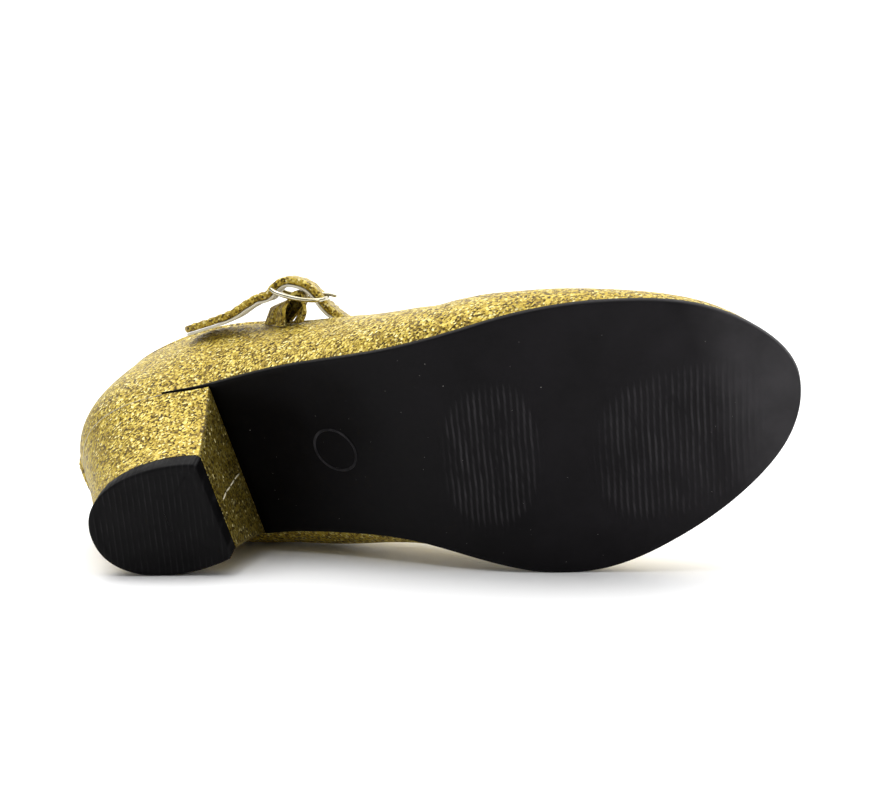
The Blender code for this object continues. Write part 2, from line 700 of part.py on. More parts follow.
def build_prong(parts):
    """Pin wrapped round the centre bar, straight out over the frame's end bar."""
    centre, along, outward, _ = buckle_axes()
    start, end = prong_line()
    radius = start[1]
    wrap = [(radius * math.cos(math.radians(a)), radius * math.sin(math.radians(a))) for a in range(-150 + 360, 89, -30)]
    straight = [(end[0] * share, start[1] + (end[1] - start[1]) * share) for share in (0.5, 1.0)]
    tip = [(end[0] + 2.2 * PRONG_WIRE, end[1])]
    points = [centre + along * run + outward * up for run, up in wrap + straight + tip]
    mesh = wire_mesh("buckle_prong", points, PRONG_WIRE / 2, False)
    smooth_shade(mesh)
    return add_object("buckle_prong", mesh, parts, "pale_metal")


def chape_side(radius, belly, bottom):
    """One face of the chape's strip, seen along the bar: up from the quarter, round the bar, down."""
    leg = []
    for share in (1.0, 0.65, 0.42, 0.2):
        width = radius + (belly - radius) * math.sin(math.pi * share * 0.75)
        leg.append((width, bottom * share))
    top = [(radius * math.cos(math.radians(a)), radius * math.sin(math.radians(a))) for a in range(0, 181, 30)]
    return leg + top + [(-x, y) for x, y in leg[::-1]]


def build_chape(parts, cutters):
    """Gold strip looped round the centre bar, slotted for the prong, both legs on the quarter."""
    centre, along, outward, across = buckle_axes()
    inner = FRAME_WIRE / 2 + CLEARANCE
    outer = inner + CHAPE_THICKNESS
    low = -BUCKLE_STANDOFF
    outside = chape_side(outer, CHAPE_LOOP / 2, low)
    inside = chape_side(inner, CHAPE_LOOP / 2 - CHAPE_THICKNESS, low)
    bm = bmesh.new()
    edge = centre - across * CHAPE_WIDTH / 2
    face = bm.faces.new([bm.verts.new(edge + along * x + outward * y) for x, y in outside + inside[::-1]])
    raised = bmesh.ops.extrude_face_region(bm, geom=[face])["geom"]
    top = [v for v in raised if isinstance(v, bmesh.types.BMVert)]
    bmesh.ops.translate(bm, verts=top, vec=Vector(across * CHAPE_WIDTH))
    trim_to_quarter(bm, outward, CHAPE_THICKNESS)
    mesh = mesh_from_bmesh("buckle_chape", bm)
    smooth_shade(mesh)
    chape = add_object("buckle_chape", mesh, parts, "gold_glitter")
    slot = PRONG_WIRE / 2 + 2 * CLEARANCE
    add_slot_cutter(chape, centre, along, outward, across, slot, outer, cutters)
    return chape


def add_slot_cutter(chape, centre, along, outward, across, half, outer, cutters):
    """Box that opens the chape round the prong."""
    bm = bmesh.new()
    bmesh.ops.create_cube(bm, size=2.0)
    turn = Matrix((along, outward, across)).transposed().to_4x4()
    size = Matrix.Diagonal((outer * 1.2, outer, half, 1.0))
    lift = Vector(centre) + Vector(outward) * outer * 0.25
    bmesh.ops.transform(bm, matrix=Matrix.Translation(lift) @ turn @ size, verts=bm.verts[:])
    subtract(chape, add_object("cut_prong_slot", mesh_from_bmesh("cut_prong_slot", bm), cutters))


def trim_to_quarter(bm, outward, reach):
    """Slide the lowest points along the outward direction until they lie on the quarter's wall."""
    place = LAST.distance_of(BUCKLE_SECTION)
    normal = last_normal(place, BUCKLE_UP)
    seat = last_point(place, BUCKLE_UP, 2 * CLEARANCE)
    lowest = [v for v in bm.verts if np.dot(np.array(v.co) - seat, outward) < reach]
    for vert in lowest:
        height = np.dot(np.array(vert.co) - seat, normal) / np.dot(outward, normal)
        vert.co -= Vector(outward * height)


# Rest on the inner side


def world_triangles(obj, depsgraph):
    shape = obj.evaluated_get(depsgraph)
    mesh = shape.to_mesh()
    mesh.calc_loop_triangles()
    spots = np.array([tuple(obj.matrix_world @ v.co) for v in mesh.vertices])
    triangles = np.array([t.vertices[:] for t in mesh.loop_triangles])
    shape.to_mesh_clear()
    return spots, triangles


def centre_of_mass(shapes):
    total, moment = 0.0, np.zeros(3)
    for name, (spots, triangles) in shapes.items():
        a, b, c = (spots[triangles[:, k]] for k in range(3))
        volumes = np.einsum("ij,ij->i", a, np.cross(b, c)) / 6
        total += DENSITY[name] * volumes.sum()
        moment += DENSITY[name] * (volumes[:, None] * (a + b + c) / 4).sum(axis=0)
    return moment / total


def resting_turn(shapes):
    """Turn that lays the shoe on the face of its hull, below its weight, that looks most inwards."""
    weight = centre_of_mass(shapes)
    bm = bmesh.new()
    for spots, _ in shapes.values():
        for spot in spots:
            bm.verts.new(spot)
    bmesh.ops.convex_hull(bm, input=bm.verts[:])
    bmesh.ops.recalc_face_normals(bm, faces=bm.faces[:])
    best, best_side = None, -2.0
    for face in bm.faces:
        normal = face.normal.copy()
        corners = [v.co for v in face.verts[:3]]
        below = Vector(weight) + normal * (corners[0] - Vector(weight)).dot(normal)
        inside = all((b - a).cross(below - a).dot(normal) >= 0 for a, b in zip(corners, corners[1:] + corners[:1]))
        if inside and normal.y > best_side:
            best, best_side = normal, normal.y
    bm.free()
    down = best.normalized()
    up = -down
    toe = (Vector((1, 0, 0)) - up * up.x).normalized()
    back = up.cross(toe)
    return Matrix((toe, back, up)).to_4x4()


def lay_down(objects):
    """Parent everything to one empty that turns the shoe on its side and centres it on the floor."""
    bpy.context.view_layer.update()
    depsgraph = bpy.context.evaluated_depsgraph_get()
    solids = [o for o in objects if o.name in DENSITY]
    shapes = {o.name: world_triangles(o, depsgraph) for o in solids}
    turn = resting_turn(shapes)
    spots = np.vstack([spots for spots, _ in shapes.values()])
    laid = spots @ np.array(turn.to_3x3()).T
    low, high = laid.min(axis=0), laid.max(axis=0)
    shift = Vector((-(low[0] + high[0]) / 2, -(low[1] + high[1]) / 2, -low[2]))
    holder = bpy.data.objects.new("shoe_on_its_side", None)
    bpy.context.scene.collection.objects.link(holder)
    for obj in objects:
        obj.parent = holder
    holder.matrix_world = Matrix.Translation(shift) @ turn
    bpy.context.view_layer.update()
    return holder


def main():
    clear_scene()
    parts = new_collection("flamenco_shoe")
    cutters = new_collection("cutters")
    build_outsole(parts)
    build_heel_block(parts, cutters)
    build_top_piece(parts)
    build_upper(parts, cutters)
    build_insole(parts)
    build_strap(parts, cutters)
    build_frame(parts, cutters)
    build_prong(parts)
    build_chape(parts, cutters)
    lay_down(list(parts.objects) + list(cutters.objects))


main()
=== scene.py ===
"""A child's flamenco shoe for the right foot: gold glitter cloth, ribbed black sole, strap and buckle.

Every place is worked out in the standing shoe's own axes, which are toe along +X, inner side along
+Y and floor at Z = 0. The record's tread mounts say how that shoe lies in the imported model.
All sizes are in metres.
"""

import json
import math
from collections import namedtuple

import bmesh
import bpy
import numpy as np
from mathutils import Matrix, Vector


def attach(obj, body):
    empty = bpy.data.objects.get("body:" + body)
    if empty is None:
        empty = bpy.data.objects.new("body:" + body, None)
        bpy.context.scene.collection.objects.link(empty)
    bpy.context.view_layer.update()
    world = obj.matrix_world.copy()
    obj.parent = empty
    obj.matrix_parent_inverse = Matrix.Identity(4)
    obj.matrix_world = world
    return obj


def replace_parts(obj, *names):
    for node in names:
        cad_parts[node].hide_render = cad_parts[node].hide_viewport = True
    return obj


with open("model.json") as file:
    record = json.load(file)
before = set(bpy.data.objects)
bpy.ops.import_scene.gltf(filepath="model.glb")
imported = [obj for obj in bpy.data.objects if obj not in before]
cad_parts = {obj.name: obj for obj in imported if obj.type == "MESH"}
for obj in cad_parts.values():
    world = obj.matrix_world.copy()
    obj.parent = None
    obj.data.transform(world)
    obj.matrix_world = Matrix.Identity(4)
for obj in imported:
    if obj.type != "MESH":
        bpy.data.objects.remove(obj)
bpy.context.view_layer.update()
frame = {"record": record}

# Driving sizes, as in the solids
SHOE_LENGTH = 0.196
BALL_WIDTH = 0.0699
BREAST_HEIGHT = 0.0290
SEAT_SLOPE = 0.16
TOE_SPRING = 0.0070
COLLAR_HEIGHT = 0.0430
INSTEP_HEIGHT = 0.0362
UPPER_WALL = 0.0018
SOLE_THICKNESS = 0.0024
SOLE_SKIVE = 0.0002
SOLE_SHOULDER = 0.0019
SOLE_MARGIN = 0.0005
SOLE_EDGE_ROUND = 0.0005
INSOLE_THICKNESS = 0.0020
SOCK_INSET = 0.0007
HEEL_BREAST = 0.0485
HEEL_FOOT_LENGTH = 0.0335
HEEL_FOOT_WIDTH = 0.0268
HEEL_TOP_LIFT = 0.0053
STRAP_WIDTH = 0.0098
STRAP_THICKNESS = 0.0027
STRAP_TIP_LENGTH = 0.0045
STRAP_DIP = 0.0013
FRAME_LENGTH = 0.0150
FRAME_WIDTH = 0.0146
FRAME_WIRE = 0.0012
FRAME_BOW = 0.0009
END_RISE = 0.0004
PRONG_WIRE = 0.0009
CHAPE_WIDTH = 0.0080
CHAPE_THICKNESS = 0.0010
CHAPE_LOOP = 0.0066
CHAPE_SLANT = 0.75
BUCKLE_STANDOFF = 0.0068
CLEARANCE = 0.0003
BELOW_FEATHER = 0.0006

# Shares of the shoe's length and of the heel's foot
FLAT_START = 0.643
FLAT_END = 0.811
SOLE_END = 0.172
HEEL_FOOT_FULLNESS = 0.26
HEEL_FOOT_BACK = 1.09
HEEL_FOOT_RUN = 0.36
HEEL_WAISTING = 1.15

# Sizes of the finish
GLITTER_GRAIN = 0.00055      # width of one flake
STITCH_LENGTH = 0.0022
STITCH_GAP = 0.0008
STITCH_RADIUS = 0.00020
COLLAR_STITCH_DOWN = 0.0024  # stitch line under the collar's edge
RIB_PITCH = 0.00152
RIB_WANDER = 0.00012
RIB_DEPTH = 0.00022
RING_RADIUS = 0.0058
RING_LINE = 0.00035
LINING_SHARE = 0.26          # part of the strap's thickness that is its cream lining
LAYER_GAP = 0.00012

# Sections of the last, as in the solids
Section = namedtuple("Section", "along side top_along top_side collar instep rise drop flare swell pull")
SECTIONS = [
    Section(0.015, 0.000, 0.016, 0.000, 1.00, 0.00, 0.30, 0.36, 0.112, 0.078, 0.0),
    Section(0.038, -0.184, 0.047, -0.188, 0.99, 0.00, 0.30, 0.36, 0.084, 0.048, 0.0),
    Section(0.102, -0.284, 0.117, -0.284, 0.94, 0.00, 0.30, 0.34, 0.055, 0.030, 0.0),
    Section(0.224, -0.308, 0.230, -0.342, 0.84, 0.00, 0.30, 0.32, 0.054, 0.034, 0.0),
    Section(0.357, -0.348, 0.345, -0.340, 0.30, 0.53, 0.30, 0.30, 0.050, 0.030, 0.0),
    Section(0.510, -0.394, 0.455, -0.346, 0.00, 0.87, 0.28, 0.26, 0.074, 0.062, 0.0),
    Section(0.679, -0.438, 0.560, -0.272, 0.00, 0.95, 0.30, 0.14, 0.104, 0.056, 0.20),
    Section(0.816, -0.401, 0.633, -0.148, 0.00, 0.99, 0.31, 0.12, 0.052, 0.030, 0.33),
    Section(0.908, -0.306, 0.668, -0.066, 0.00, 1.00, 0.32, 0.14, 0.022, 0.018, 0.38),
    Section(0.969, -0.150, 0.683, 0.000, 0.00, 1.00, 0.33, 0.16, 0.040, 0.016, 0.41),
    Section(0.997, 0.029, 0.688, 0.058, 0.00, 1.00, 0.34, 0.17, 0.018, 0.014, 0.42),
    Section(0.977, 0.210, 0.684, 0.118, 0.00, 1.00, 0.33, 0.16, 0.010, 0.014, 0.41),
    Section(0.916, 0.355, 0.669, 0.184, 0.00, 1.00, 0.33, 0.14, 0.010, 0.016, 0.40),
    Section(0.816, 0.480, 0.635, 0.270, 0.00, 0.98, 0.32, 0.12, 0.018, 0.022, 0.35),
    Section(0.699, 0.544, 0.572, 0.370, 0.00, 0.95, 0.30, 0.14, 0.034, 0.036, 0.24),
    Section(0.587, 0.466, 0.492, 0.414, 0.00, 0.92, 0.26, 0.22, 0.066, 0.050, 0.08),
    Section(0.469, 0.352, 0.412, 0.397, 0.00, 0.90, 0.22, 0.28, 0.150, 0.066, 0.0),
    Section(0.357, 0.322, 0.335, 0.391, 0.30, 0.56, 0.20, 0.30, 0.232, 0.084, 0.0),
    Section(0.224, 0.306, 0.230, 0.366, 0.84, 0.00, 0.22, 0.32, 0.204, 0.084, 0.0),
    Section(0.102, 0.284, 0.117, 0.298, 0.94, 0.00, 0.28, 0.34, 0.086, 0.050, 0.0),
    Section(0.038, 0.184, 0.048, 0.191, 0.99, 0.00, 0.30, 0.36, 0.072, 0.048, 0.0),
]
BUCKLE_SECTION, BUCKLE_UP = 4.00, 0.89
TAIL_SECTION, TAIL_UP = 2.55, 0.80
STRAP_ROOT_SECTION = 16.95
STRAP_ROOT_LOW, STRAP_ROOT_HIGH = 0.66, 0.92
BUCKLE_ALONG = (0.894, 0.447, 0.0)
BUCKLE_ACROSS = (-0.15, 0.30, 0.94)
TAIL_FACE = (-0.18, -0.93, 0.32)
Arch = namedtuple("Arch", "span rise ahead face_ahead face_side face_up")
STRAP_ARCH = [
    Arch(0.16, 0.34, 0.022, 0.30, 0.70, 0.60),
    Arch(0.38, 0.60, 0.040, 0.45, 0.25, 0.85),
    Arch(0.62, 0.58, 0.042, 0.50, -0.20, 0.80),
    Arch(0.84, 0.26, 0.026, 0.50, -0.62, 0.55),
]
# Strap from the frame's front end over the centre bar: run along the buckle, height, lean of its face
STRAP_OVER_BAR = [
    (0.0074, -0.0007, 0.35),
    (0.0050, 0.0014, 0.55),
    (0.0022, 0.0032, 0.30),
    (-0.0010, 0.0038, 0.0),
    (-0.0040, 0.0034, -0.45),
    (-0.0060, 0.0016, -0.95),
    (-0.0074, -0.0008, -0.90),
]
# Free end: run along the buckle, height, and how far it drifts up the quarter
STRAP_TAIL = [
    (-0.0098, -0.0022, 0.0010),
    (-0.0126, -0.0044, 0.0024),
    (-0.0160, -0.0075, 0.0042),
    (-0.0205, -0.0105, 0.0070),
    (-0.0250, -0.0130, 0.0100),
    (-0.0288, -0.0150, 0.0125),
]

# Camera, read from the photograph and given in the standing shoe's axes
CAMERA_PLACE = (0.25311, -0.21729, -0.51401)
CAMERA_RIGHT = (0.94201, 0.30677, 0.13605)
CAMERA_DOWN = (-0.22831, 0.88299, -0.41013)
CAMERA_AHEAD = (-0.24594, 0.35529, 0.90182)
CAMERA_LENS = 97.5
SENSOR_WIDTH = 36.0

# Soft creases of the glitter cloth: section and share of the wall's height at the middle, length
# round the shoe and up the wall, depth (a ridge where it is negative) and lean up the wall
Crease = namedtuple("Crease", "section up along rise depth lean")
CREASES = [
    Crease(5.75, 0.66, 0.0042, 0.42, 0.00045, 0.010),
    Crease(6.15, 0.60, 0.0050, 0.36, -0.00025, 0.010),
    Crease(6.45, 0.70, 0.0040, 0.34, 0.00035, 0.008),
    Crease(4.60, 0.52, 0.0090, 0.26, 0.00040, -0.006),
    Crease(3.30, 0.35, 0.0120, 0.16, -0.00030, 0.004),
    Crease(2.20, 0.55, 0.0080, 0.24, 0.00035, 0.006),
    Crease(14.60, 0.68, 0.0046, 0.40, 0.00045, -0.010),
    Crease(14.25, 0.60, 0.0050, 0.34, -0.00025, -0.010),
    Crease(15.30, 0.55, 0.0080, 0.30, 0.00040, -0.006),
    Crease(17.60, 0.45, 0.0110, 0.26, 0.00050, 0.004),
    Crease(18.80, 0.50, 0.0080, 0.24, 0.00030, 0.0),
    Crease(9.30, 0.30, 0.0200, 0.45, 0.00130, 0.0),
]

# Fine transverse ribs of the tread: middle of each patch, its half length and half width
RibPatch = namedtuple("RibPatch", "ahead side length width")
RIB_PATCHES = [
    RibPatch(0.1200, 0.0030, 0.0142, 0.0208),
    RibPatch(0.1640, 0.0100, 0.0226, 0.0208),
]
RIB_LEAN = 0.24              # how far a rib runs back for each length across
RIB_SQUARENESS = 2.6
RING_AHEAD, RING_SIDE = 0.0780, -0.0013

# Pale dust on the tread, ahead and to the inner side, besides scattered specks
TREAD_SPECKS = [(0.1374, -0.0119), (0.1144, -0.0175), (0.0551, -0.0082), (0.1117, -0.0238)]


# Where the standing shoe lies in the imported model


def shoe_placement():
    tread = next(m for m in frame["record"]["mounts"] if m["name"] == "heel_tread")
    down = Vector(tread["axis"]).normalized()
    ahead = Vector((-down.z, 0.0, down.x)).normalized()
    up = -down
    inner = up.cross(ahead)
    turn = Matrix((ahead, inner, up)).transposed()
    shift = Vector(tread["pos_m"]) - turn @ Vector((0.034, 0.0, 0.0))
    return Matrix.Translation(shift) @ turn.to_4x4()


PLACEMENT = shoe_placement()


def add_mesh(name, verts, faces, materials, choose=None, angle=40):
    """A finished piece, given in the standing shoe's axes and laid where the solids lie."""
    mesh = bpy.data.meshes.new(name)
    laid = np.array(verts) @ np.array(PLACEMENT)[:3, :3].T + np.array(PLACEMENT)[:3, 3]
    mesh.from_pydata(laid.tolist(), [], faces)
    for material in materials:
        mesh.materials.append(material)
    if choose is not None:
        mesh.polygons.foreach_set("material_index", choose)
    mesh.validate()
    mesh.shade_smooth()
    mesh.set_sharp_from_angle(angle=math.radians(angle))
    obj = bpy.data.objects.new(name, mesh)
    bpy.context.scene.collection.objects.link(obj)
    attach(obj, "root")
    return obj


def grid_faces(rows, columns, closed):
    """Faces of a grid whose rows are rings when closed."""
    faces = []
    for i in range(rows - 1):
        for j in range(columns if closed else columns - 1):
            k = (j + 1) % columns
            faces.append((i * columns + j, i * columns + k, (i + 1) * columns + k, (i + 1) * columns + j))
    return faces


def unit(vector):
    vector = np.array(vector, float)
    return vector / np.linalg.norm(vector)


def smoothstep(low, high, value):
    t = min(max((value - low) / (high - low), 0.0), 1.0)
    return t * t * (3 - 2 * t)


# Materials


class Nodes:
    """Short way to build a material's node tree."""

    def __init__(self, name, colour, roughness, metallic=0.0):
        self.material = bpy.data.materials.new(name)
        self.material.use_nodes = True
        self.tree = self.material.node_tree
        self.shader = self.tree.nodes["Principled BSDF"]
        self.shader.inputs["Base Color"].default_value = (*colour, 1.0)
        self.shader.inputs["Roughness"].default_value = roughness
        self.shader.inputs["Metallic"].default_value = metallic
        standing = PLACEMENT.inverted()
        turn = self.add("ShaderNodeMapping")
        turn.inputs["Location"].default_value = standing.translation
        turn.inputs["Rotation"].default_value = standing.to_euler()
        self.link(self.add("ShaderNodeTexCoord").outputs["Object"], turn.inputs["Vector"])
        self.place = turn.outputs["Vector"]

    def add(self, kind, **settings):
        node = self.tree.nodes.new(kind)
        for key, value in settings.items():
            setattr(node, key, value)
        return node

    def link(self, source, target):
        self.tree.links.new(source, target)

    def set(self, name, value):
        self.shader.inputs[name].default_value = value

    def noise(self, size, detail=3.0, roughness=0.55, stretch=None):
        node = self.add("ShaderNodeTexNoise")
        node.inputs["Scale"].default_value = 1.0 / size
        node.inputs["Detail"].default_value = detail
        node.inputs["Roughness"].default_value = roughness
        self.link(self.stretched(stretch), node.inputs["Vector"])
        return node.outputs["Fac"]

    def cells(self, size, feature="F1", stretch=None):
        node = self.add("ShaderNodeTexVoronoi", feature=feature)
        node.inputs["Scale"].default_value = 1.0 / size
        self.link(self.stretched(stretch), node.inputs["Vector"])
        return node

    def stretched(self, stretch):
        if stretch is None:
            return self.place
        node = self.add("ShaderNodeVectorMath", operation="MULTIPLY")
        self.link(self.place, node.inputs[0])
        node.inputs[1].default_value = stretch
        return node.outputs[0]

    def ramp(self, value, stops, interpolation="LINEAR"):
        node = self.add("ShaderNodeValToRGB")
        node.color_ramp.interpolation = interpolation
        elements = node.color_ramp.elements
        while len(elements) < len(stops):
            elements.new(0.5)
        for element, (position, colour) in zip(elements, stops):
            element.position = position
            element.color = (*colour, 1.0) if len(colour) == 3 else colour
        self.link(value, node.inputs["Fac"])
        return node.outputs["Color"]

    def range(self, value, low, high, to_low=0.0, to_high=1.0):
        node = self.add("ShaderNodeMapRange")
        self.link(value, node.inputs["Value"])
        for key, number in (("From Min", low), ("From Max", high), ("To Min", to_low), ("To Max", to_high)):
            node.inputs[key].default_value = number
        return node.outputs["Result"]

    def mix(self, share, first, second, kind="MIX"):
        node = self.add("ShaderNodeMix", data_type="RGBA", blend_type=kind)
        if isinstance(share, float):
            node.inputs["Factor"].default_value = share
        else:
            self.link(share, node.inputs["Factor"])
        for key, colour in (("A", first), ("B", second)):
            socket = [s for s in node.inputs if s.name == key and s.type == "RGBA"][0]
            if isinstance(colour, tuple):
                socket.default_value = (*colour, 1.0)
            else:
                self.link(colour, socket)
        return [s for s in node.outputs if s.type == "RGBA"][0]

    def math(self, operation, first, second):
        node = self.add("ShaderNodeMath", operation=operation)
        for socket, value in zip(node.inputs, (first, second)):
            if isinstance(value, float):
                socket.default_value = value
            else:
                self.link(value, socket)
        return node.outputs[0]

    def bump(self, height, distance, strength=1.0, normal=None):
        node = self.add("ShaderNodeBump")
        node.inputs["Distance"].default_value = distance
        node.inputs["Strength"].default_value = strength
        self.link(height, node.inputs["Height"])
        if normal is not None:
            self.link(normal, node.inputs["Normal"])
        self.link(node.outputs["Normal"], self.shader.inputs["Normal"])
        return node.outputs["Normal"]


GOLD_STOPS = [
    (0.00, (0.060, 0.036, 0.004)),
    (0.16, (0.14, 0.088, 0.007)),
    (0.34, (0.33, 0.225, 0.022)),
    (0.58, (0.49, 0.355, 0.044)),
    (0.80, (0.62, 0.475, 0.080)),
    (0.93, (0.74, 0.61, 0.16)),
    (1.00, (0.88, 0.79, 0.40)),
]


def glitter_material(name, shade=1.0):
    """Gold flakes: each has its own colour and its own tilt."""
    n = Nodes(name, (0.52, 0.38, 0.10), 0.40, 0.30)
    flakes = n.cells(GLITTER_GRAIN)
    split = n.add("ShaderNodeSeparateColor")
    n.link(flakes.outputs["Color"], split.inputs["Color"])
    gold = n.ramp(split.outputs["Red"], GOLD_STOPS)
    patch = n.ramp(n.noise(0.0035, 3.0), [(0.3, (0.80, 0.78, 0.74)), (0.7, (1.0, 1.0, 1.0))])
    toned = n.mix(1.0, gold, patch, "MULTIPLY")
    if shade != 1.0:
        # Painted shade: every flake's colour darkened by the shade factor.
        toned = n.mix(1.0, toned, (shade, shade, shade * 0.94), "MULTIPLY")
        # Painted glints: the few flakes with the highest blue value turned pale gold.
        toned = n.mix(n.range(split.outputs["Blue"], 0.975, 0.985), toned, (0.85, 0.74, 0.36))
    n.link(toned, n.shader.inputs["Base Color"])
    n.set("Specular IOR Level", 0.25)
    n.link(n.range(split.outputs["Green"], 0.0, 1.0, 0.34, 0.62), n.shader.inputs["Roughness"])
    tilt = n.add("ShaderNodeVectorMath", operation="SUBTRACT")
    n.link(flakes.outputs["Color"], tilt.inputs[0])
    tilt.inputs[1].default_value = (0.5, 0.5, 0.5)
    scaled = n.add("ShaderNodeVectorMath", operation="SCALE")
    n.link(tilt.outputs[0], scaled.inputs[0])
    scaled.inputs["Scale"].default_value = 0.72
    surface = n.add("ShaderNodeNewGeometry")
    total = n.add("ShaderNodeVectorMath", operation="ADD")
    n.link(surface.outputs["Normal"], total.inputs[0])
    n.link(scaled.outputs[0], total.inputs[1])
    even = n.add("ShaderNodeVectorMath", operation="NORMALIZE")
    n.link(total.outputs[0], even.inputs[0])
    n.bump(flakes.outputs["Distance"], GLITTER_GRAIN * 0.4, 0.5, even.outputs[0])
    return n.material


def rubber_material(name):
    """Satin black rubber: painted shade darkest at the waist, a painted sheen at the toe, paler rib crests of
    painted highlight broken by worn streaks, and pale dust.
    """
    n = Nodes(name, (0.006, 0.006, 0.0065), 0.5)
    n.set("Specular IOR Level", 0.06)
    spot = n.add("ShaderNodeSeparateXYZ")
    n.link(n.place, spot.inputs["Vector"])
    # Painted shade darkening the sole towards the heel, and a painted sheen brightening the toe.
    along = n.ramp(n.range(spot.outputs["X"], 0.045, 0.196),
                   [(0.00, (0.0010, 0.0008, 0.0007)), (0.18, (0.0030, 0.0027, 0.0031)),
                    (0.60, (0.0068, 0.0061, 0.0071)), (0.86, (0.0100, 0.0092, 0.0104)),
                    (0.92, (0.0270, 0.0255, 0.0275)), (1.00, (0.0300, 0.0285, 0.0305))])
    mottle = n.noise(0.016, 4.0, 0.6)
    patchy = n.mix(1.0, along, n.ramp(mottle, [(0.32, (0.70, 0.70, 0.70)), (0.70, (1.25, 1.25, 1.25))]), "MULTIPLY")
    # Paler rib crests and ring: painted highlight where they catch light, broken by worn streaks.
    rub = n.add("ShaderNodeAttribute", attribute_name="highlight_and_wear")
    streak = n.range(n.noise(0.0050, 4.0, 0.65, (1.0, 0.30, 1.0)), 0.38, 0.64, 0.05, 1.0)
    worn = n.math("MULTIPLY", rub.outputs["Fac"], streak)
    ribbed = n.mix(worn, patchy, (0.030, 0.0285, 0.0305))
    dusty = n.range(n.noise(0.0024, 5.0, 0.7), 0.66, 0.84, 0.0, 0.20)
    n.link(n.mix(dusty, ribbed, (0.055, 0.052, 0.050)), n.shader.inputs["Base Color"])
    n.link(n.range(mottle, 0.3, 0.75, 0.42, 0.60), n.shader.inputs["Roughness"])
    soft = n.bump(n.noise(0.006, 2.0), 0.00022, 0.6)
    n.bump(n.noise(0.00035, 3.0), 0.00003, 0.5, soft)
    return n.material


def heel_rubber_material():
    """Black rubber with fine slanting ribs that catch the light towards the back."""
    n = Nodes("heel_rubber_finish", (0.006, 0.006, 0.0065), 0.5)
    n.set("Specular IOR Level", 0.06)
    slant = n.add("ShaderNodeMapping")
    n.link(n.place, slant.inputs["Vector"])
    slant.inputs["Rotation"].default_value = (0.0, 0.0, math.radians(-14))
    ribs = n.add("ShaderNodeTexWave", wave_type="BANDS", bands_direction="X")
    ribs.inputs["Scale"].default_value = 1.0 / (RIB_PITCH * 3.2)
    ribs.inputs["Distortion"].default_value = 0.5
    n.link(slant.outputs["Vector"], ribs.inputs["Vector"])
    base = n.ramp(n.noise(0.008, 4.0), [(0.3, (0.0024, 0.0022, 0.0025)), (0.75, (0.0050, 0.0047, 0.0051))])
    # Pale crests: painted highlight where the ribs catch the light.
    crest = n.math("MULTIPLY", n.range(ribs.outputs["Fac"], 0.80, 1.0), n.range(n.noise(0.006, 3.0), 0.40, 0.65))
    n.link(n.mix(crest, base, (0.012, 0.0115, 0.0122)), n.shader.inputs["Base Color"])
    n.link(n.range(n.noise(0.004, 4.0), 0.3, 0.75, 0.40, 0.62), n.shader.inputs["Roughness"])
    fine = n.bump(ribs.outputs["Fac"], 0.00010, 0.55)
    n.bump(n.noise(0.0004, 3.0), 0.00005, 0.5, fine)
    return n.material


def cloth_material(name, dark, pale, thread=0.00045, roughness=0.85):
    """Fine woven lining."""
    n = Nodes(name, pale, roughness)
    weave = []
    for direction in ("X", "Y"):
        wave = n.add("ShaderNodeTexWave", wave_type="BANDS", bands_direction=direction)
        wave.inputs["Scale"].default_value = 1.0 / (thread * 6.3)
        wave.inputs["Distortion"].default_value = 0.4
        n.link(n.place, wave.inputs["Vector"])
        weave.append(wave.outputs["Fac"])
    both = n.math("MULTIPLY", weave[0], weave[1])
    n.link(n.ramp(n.noise(0.007, 4.0), [(0.3, dark), (0.7, pale)]), n.shader.inputs["Base Color"])
    n.set("Sheen Weight", 0.25)
    n.bump(both, thread * 0.35, 0.55)
    return n.material


def metal_material():
    n = Nodes("buckle_finish", (0.52, 0.48, 0.36), 0.2, 1.0)
    n.link(n.range(n.noise(0.0012, 4.0), 0.3, 0.75, 0.13, 0.32), n.shader.inputs["Roughness"])
    n.link(n.ramp(n.noise(0.003, 3.0), [(0.3, (0.42, 0.38, 0.24)), (0.7, (0.60, 0.57, 0.46))]),
           n.shader.inputs["Base Color"])
    n.bump(n.noise(0.0004, 2.0), 0.00002, 0.4)
    return n.material


def thread_material(name, colour):
    n = Nodes(name, colour, 0.55)
    twist = n.add("ShaderNodeTexWave", wave_type="BANDS", bands_direction="DIAGONAL")
    twist.inputs["Scale"].default_value = 1.0 / 0.0014
    n.link(n.place, twist.inputs["Vector"])
    n.bump(twist.outputs["Fac"], 0.00006, 0.7)
    return n.material


GLITTER = glitter_material("gold_glitter_finish")
# Glitter with painted shade and painted glints, for the heel's breast.
GLITTER_PAINTED_SHADE = glitter_material("gold_glitter_painted_shade_finish", 0.36)
RUBBER = rubber_material("sole_rubber_finish")
HEEL_RUBBER = heel_rubber_material()
LINING = cloth_material("lining_finish", (0.62, 0.58, 0.46), (0.78, 0.75, 0.63))
SOCK = cloth_material("sock_finish", (0.66, 0.61, 0.47), (0.80, 0.76, 0.62), 0.0006)
METAL = metal_material()
THREAD = thread_material("gold_thread_finish", (0.50, 0.38, 0.12))
PALE_THREAD = thread_material("pale_thread_finish", (0.72, 0.66, 0.48))


# The last's profiles and sections, as in the solids


def sole_underside(x):
    """Height of the sole's underside: toe spring, flat forefoot, arch and heel seat."""
    start, end = FLAT_START * SHOE_LENGTH, FLAT_END * SHOE_LENGTH
    if x >= end:
        return TOE_SPRING * ((x - end) / (SHOE_LENGTH - end)) ** 2
    if x >= start:
        return 0.0
    if x <= HEEL_BREAST:
        return BREAST_HEIGHT + SEAT_SLOPE * (HEEL_BREAST - x)
    span = start - HEEL_BREAST
    u = (x - HEEL_BREAST) / span
    level = BREAST_HEIGHT * (2 * u ** 3 - 3 * u ** 2 + 1)
    return level - SEAT_SLOPE * span * (u ** 3 - 2 * u ** 2 + u)


def feather_height(x):
    """Height of the line where the upper meets the sole."""
    return sole_underside(x) + SOLE_THICKNESS


